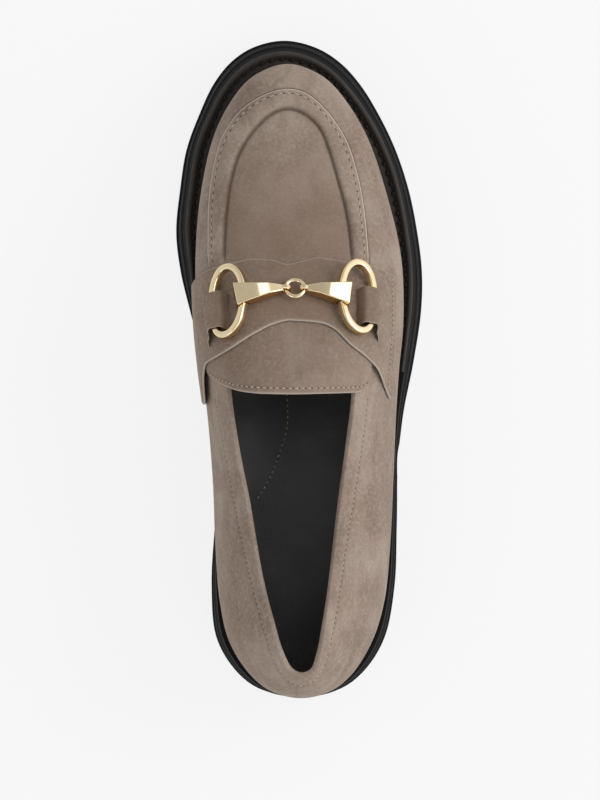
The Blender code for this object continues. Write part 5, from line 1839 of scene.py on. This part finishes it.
@dataclass(frozen=True)
class Studio:
    """Pale floor, soft light all round and the camera straight above."""

    camera_height: float = 1.250
    camera_place: tuple[float, float] = (0.0004, -0.0128)
    lens: float = 134.7
    sensor: float = 36.0
    sky_low: float = 0.80
    sky_more: float = 0.52
    toe_dimming: float = 0.42
    overhead_dimming: float = 0.45
    floor_glow: float = 0.84

    def build(self) -> None:
        """Makes the floor, the light and the camera."""
        self._floor()
        self._sky()
        self._softbox("key_softbox", (0.80, 0.20, 0.75), (0.60, 0.50), 3.6, (1.0, 0.99, 0.97))
        self._softbox("fill_softbox", (-0.50, -0.55, 0.90), (0.60, 0.50), 1.2, (0.97, 0.985, 1.0))
        self._softbox("front_softbox", (0.362, 0.94, 0.95), (0.46, 0.34), 0.75, (1.0, 1.0, 1.0))
        data = bpy.data.cameras.new("camera")
        data.sensor_fit, data.lens = "VERTICAL", self.lens
        data.sensor_height = data.sensor_width = self.sensor
        data.clip_start, data.clip_end = 0.05, 20.0
        camera = bpy.data.objects.new("camera", data)
        camera.location = (*self.camera_place, self.camera_height)
        bpy.context.scene.collection.objects.link(camera)
        bpy.context.scene.camera = camera

    def _floor(self) -> None:
        """A plain pale floor."""
        mesh = bpy.data.meshes.new("floor")
        half = 4.0
        corners = [(-half, -half, 0), (half, -half, 0), (half, half, 0), (-half, half, 0)]
        mesh.from_pydata(corners, [], [(0, 1, 2, 3)])
        book = Book(bpy.data.materials.new("floor"))
        clouds = book.noise(book.place(), 3.0, 2.0)
        colour = book.blend(clouds, (0.10, 0.10, 0.10), (0.095, 0.095, 0.095))
        mesh.materials.append(book.finish(base_color=colour, roughness=0.95, specular_ior_level=0.0,
                                          emission_color=(1.0, 1.0, 1.0), emission_strength=self.floor_glow))
        item = bpy.data.objects.new("floor", mesh)
        bpy.context.scene.collection.objects.link(item)

    def _sky(self) -> None:
        """Soft light from everywhere, brighter from the outer side, dimmer from the toe's and from above."""
        book = Book(bpy.data.worlds.new("studio"))
        bpy.context.scene.world = book.owner
        direction = book.node("ShaderNodeTexCoord", {}, {}, "Generated")
        outward, ahead, upward = (
            book.node("ShaderNodeSeparateXYZ", {}, {0: direction}, axis) for axis in "XYZ"
        )
        strength = outward.ramp(-0.15, 0.45) * self.sky_more + self.sky_low
        strength = strength * (1.0 - ahead.ramp(0.30, 0.90) * self.toe_dimming)
        strength = strength * (1.0 - upward.ramp(0.55, 0.98) * self.overhead_dimming)
        book.finish(color=(1.0, 1.0, 1.0), strength=strength)

    @staticmethod
    def _softbox(name: str, place: tuple[float, float, float], size: tuple[float, float], power: float,
                 colour: Colour) -> None:
        """A rectangular light that faces the shoe."""
        data = bpy.data.lights.new(name, "AREA")
        data.shape, data.size, data.size_y, data.energy, data.color = "RECTANGLE", *size, power, colour
        item = bpy.data.objects.new(name, data)
        item.location = place
        item.rotation_euler = (Vector((0, 0, 0.05)) - Vector(place)).to_track_quat("-Z", "Y").to_euler()
        bpy.context.scene.collection.objects.link(item)


def main() -> None:
    """Builds every piece in order."""
    logging.basicConfig(level=logging.INFO, format="%(name)s %(message)s")
    bpy.context.scene.view_settings.view_transform = "Standard"
    last = Last()
    finishes = Finishes.build()
    Sole(last, finishes).build()
    Upper(last, finishes).build()
    Straps(last, finishes).build()
    Bit(last, finishes).build(bpy.data.objects["saddle_suede"])
    Studio().build()


if __name__ == "__main__":
    main()
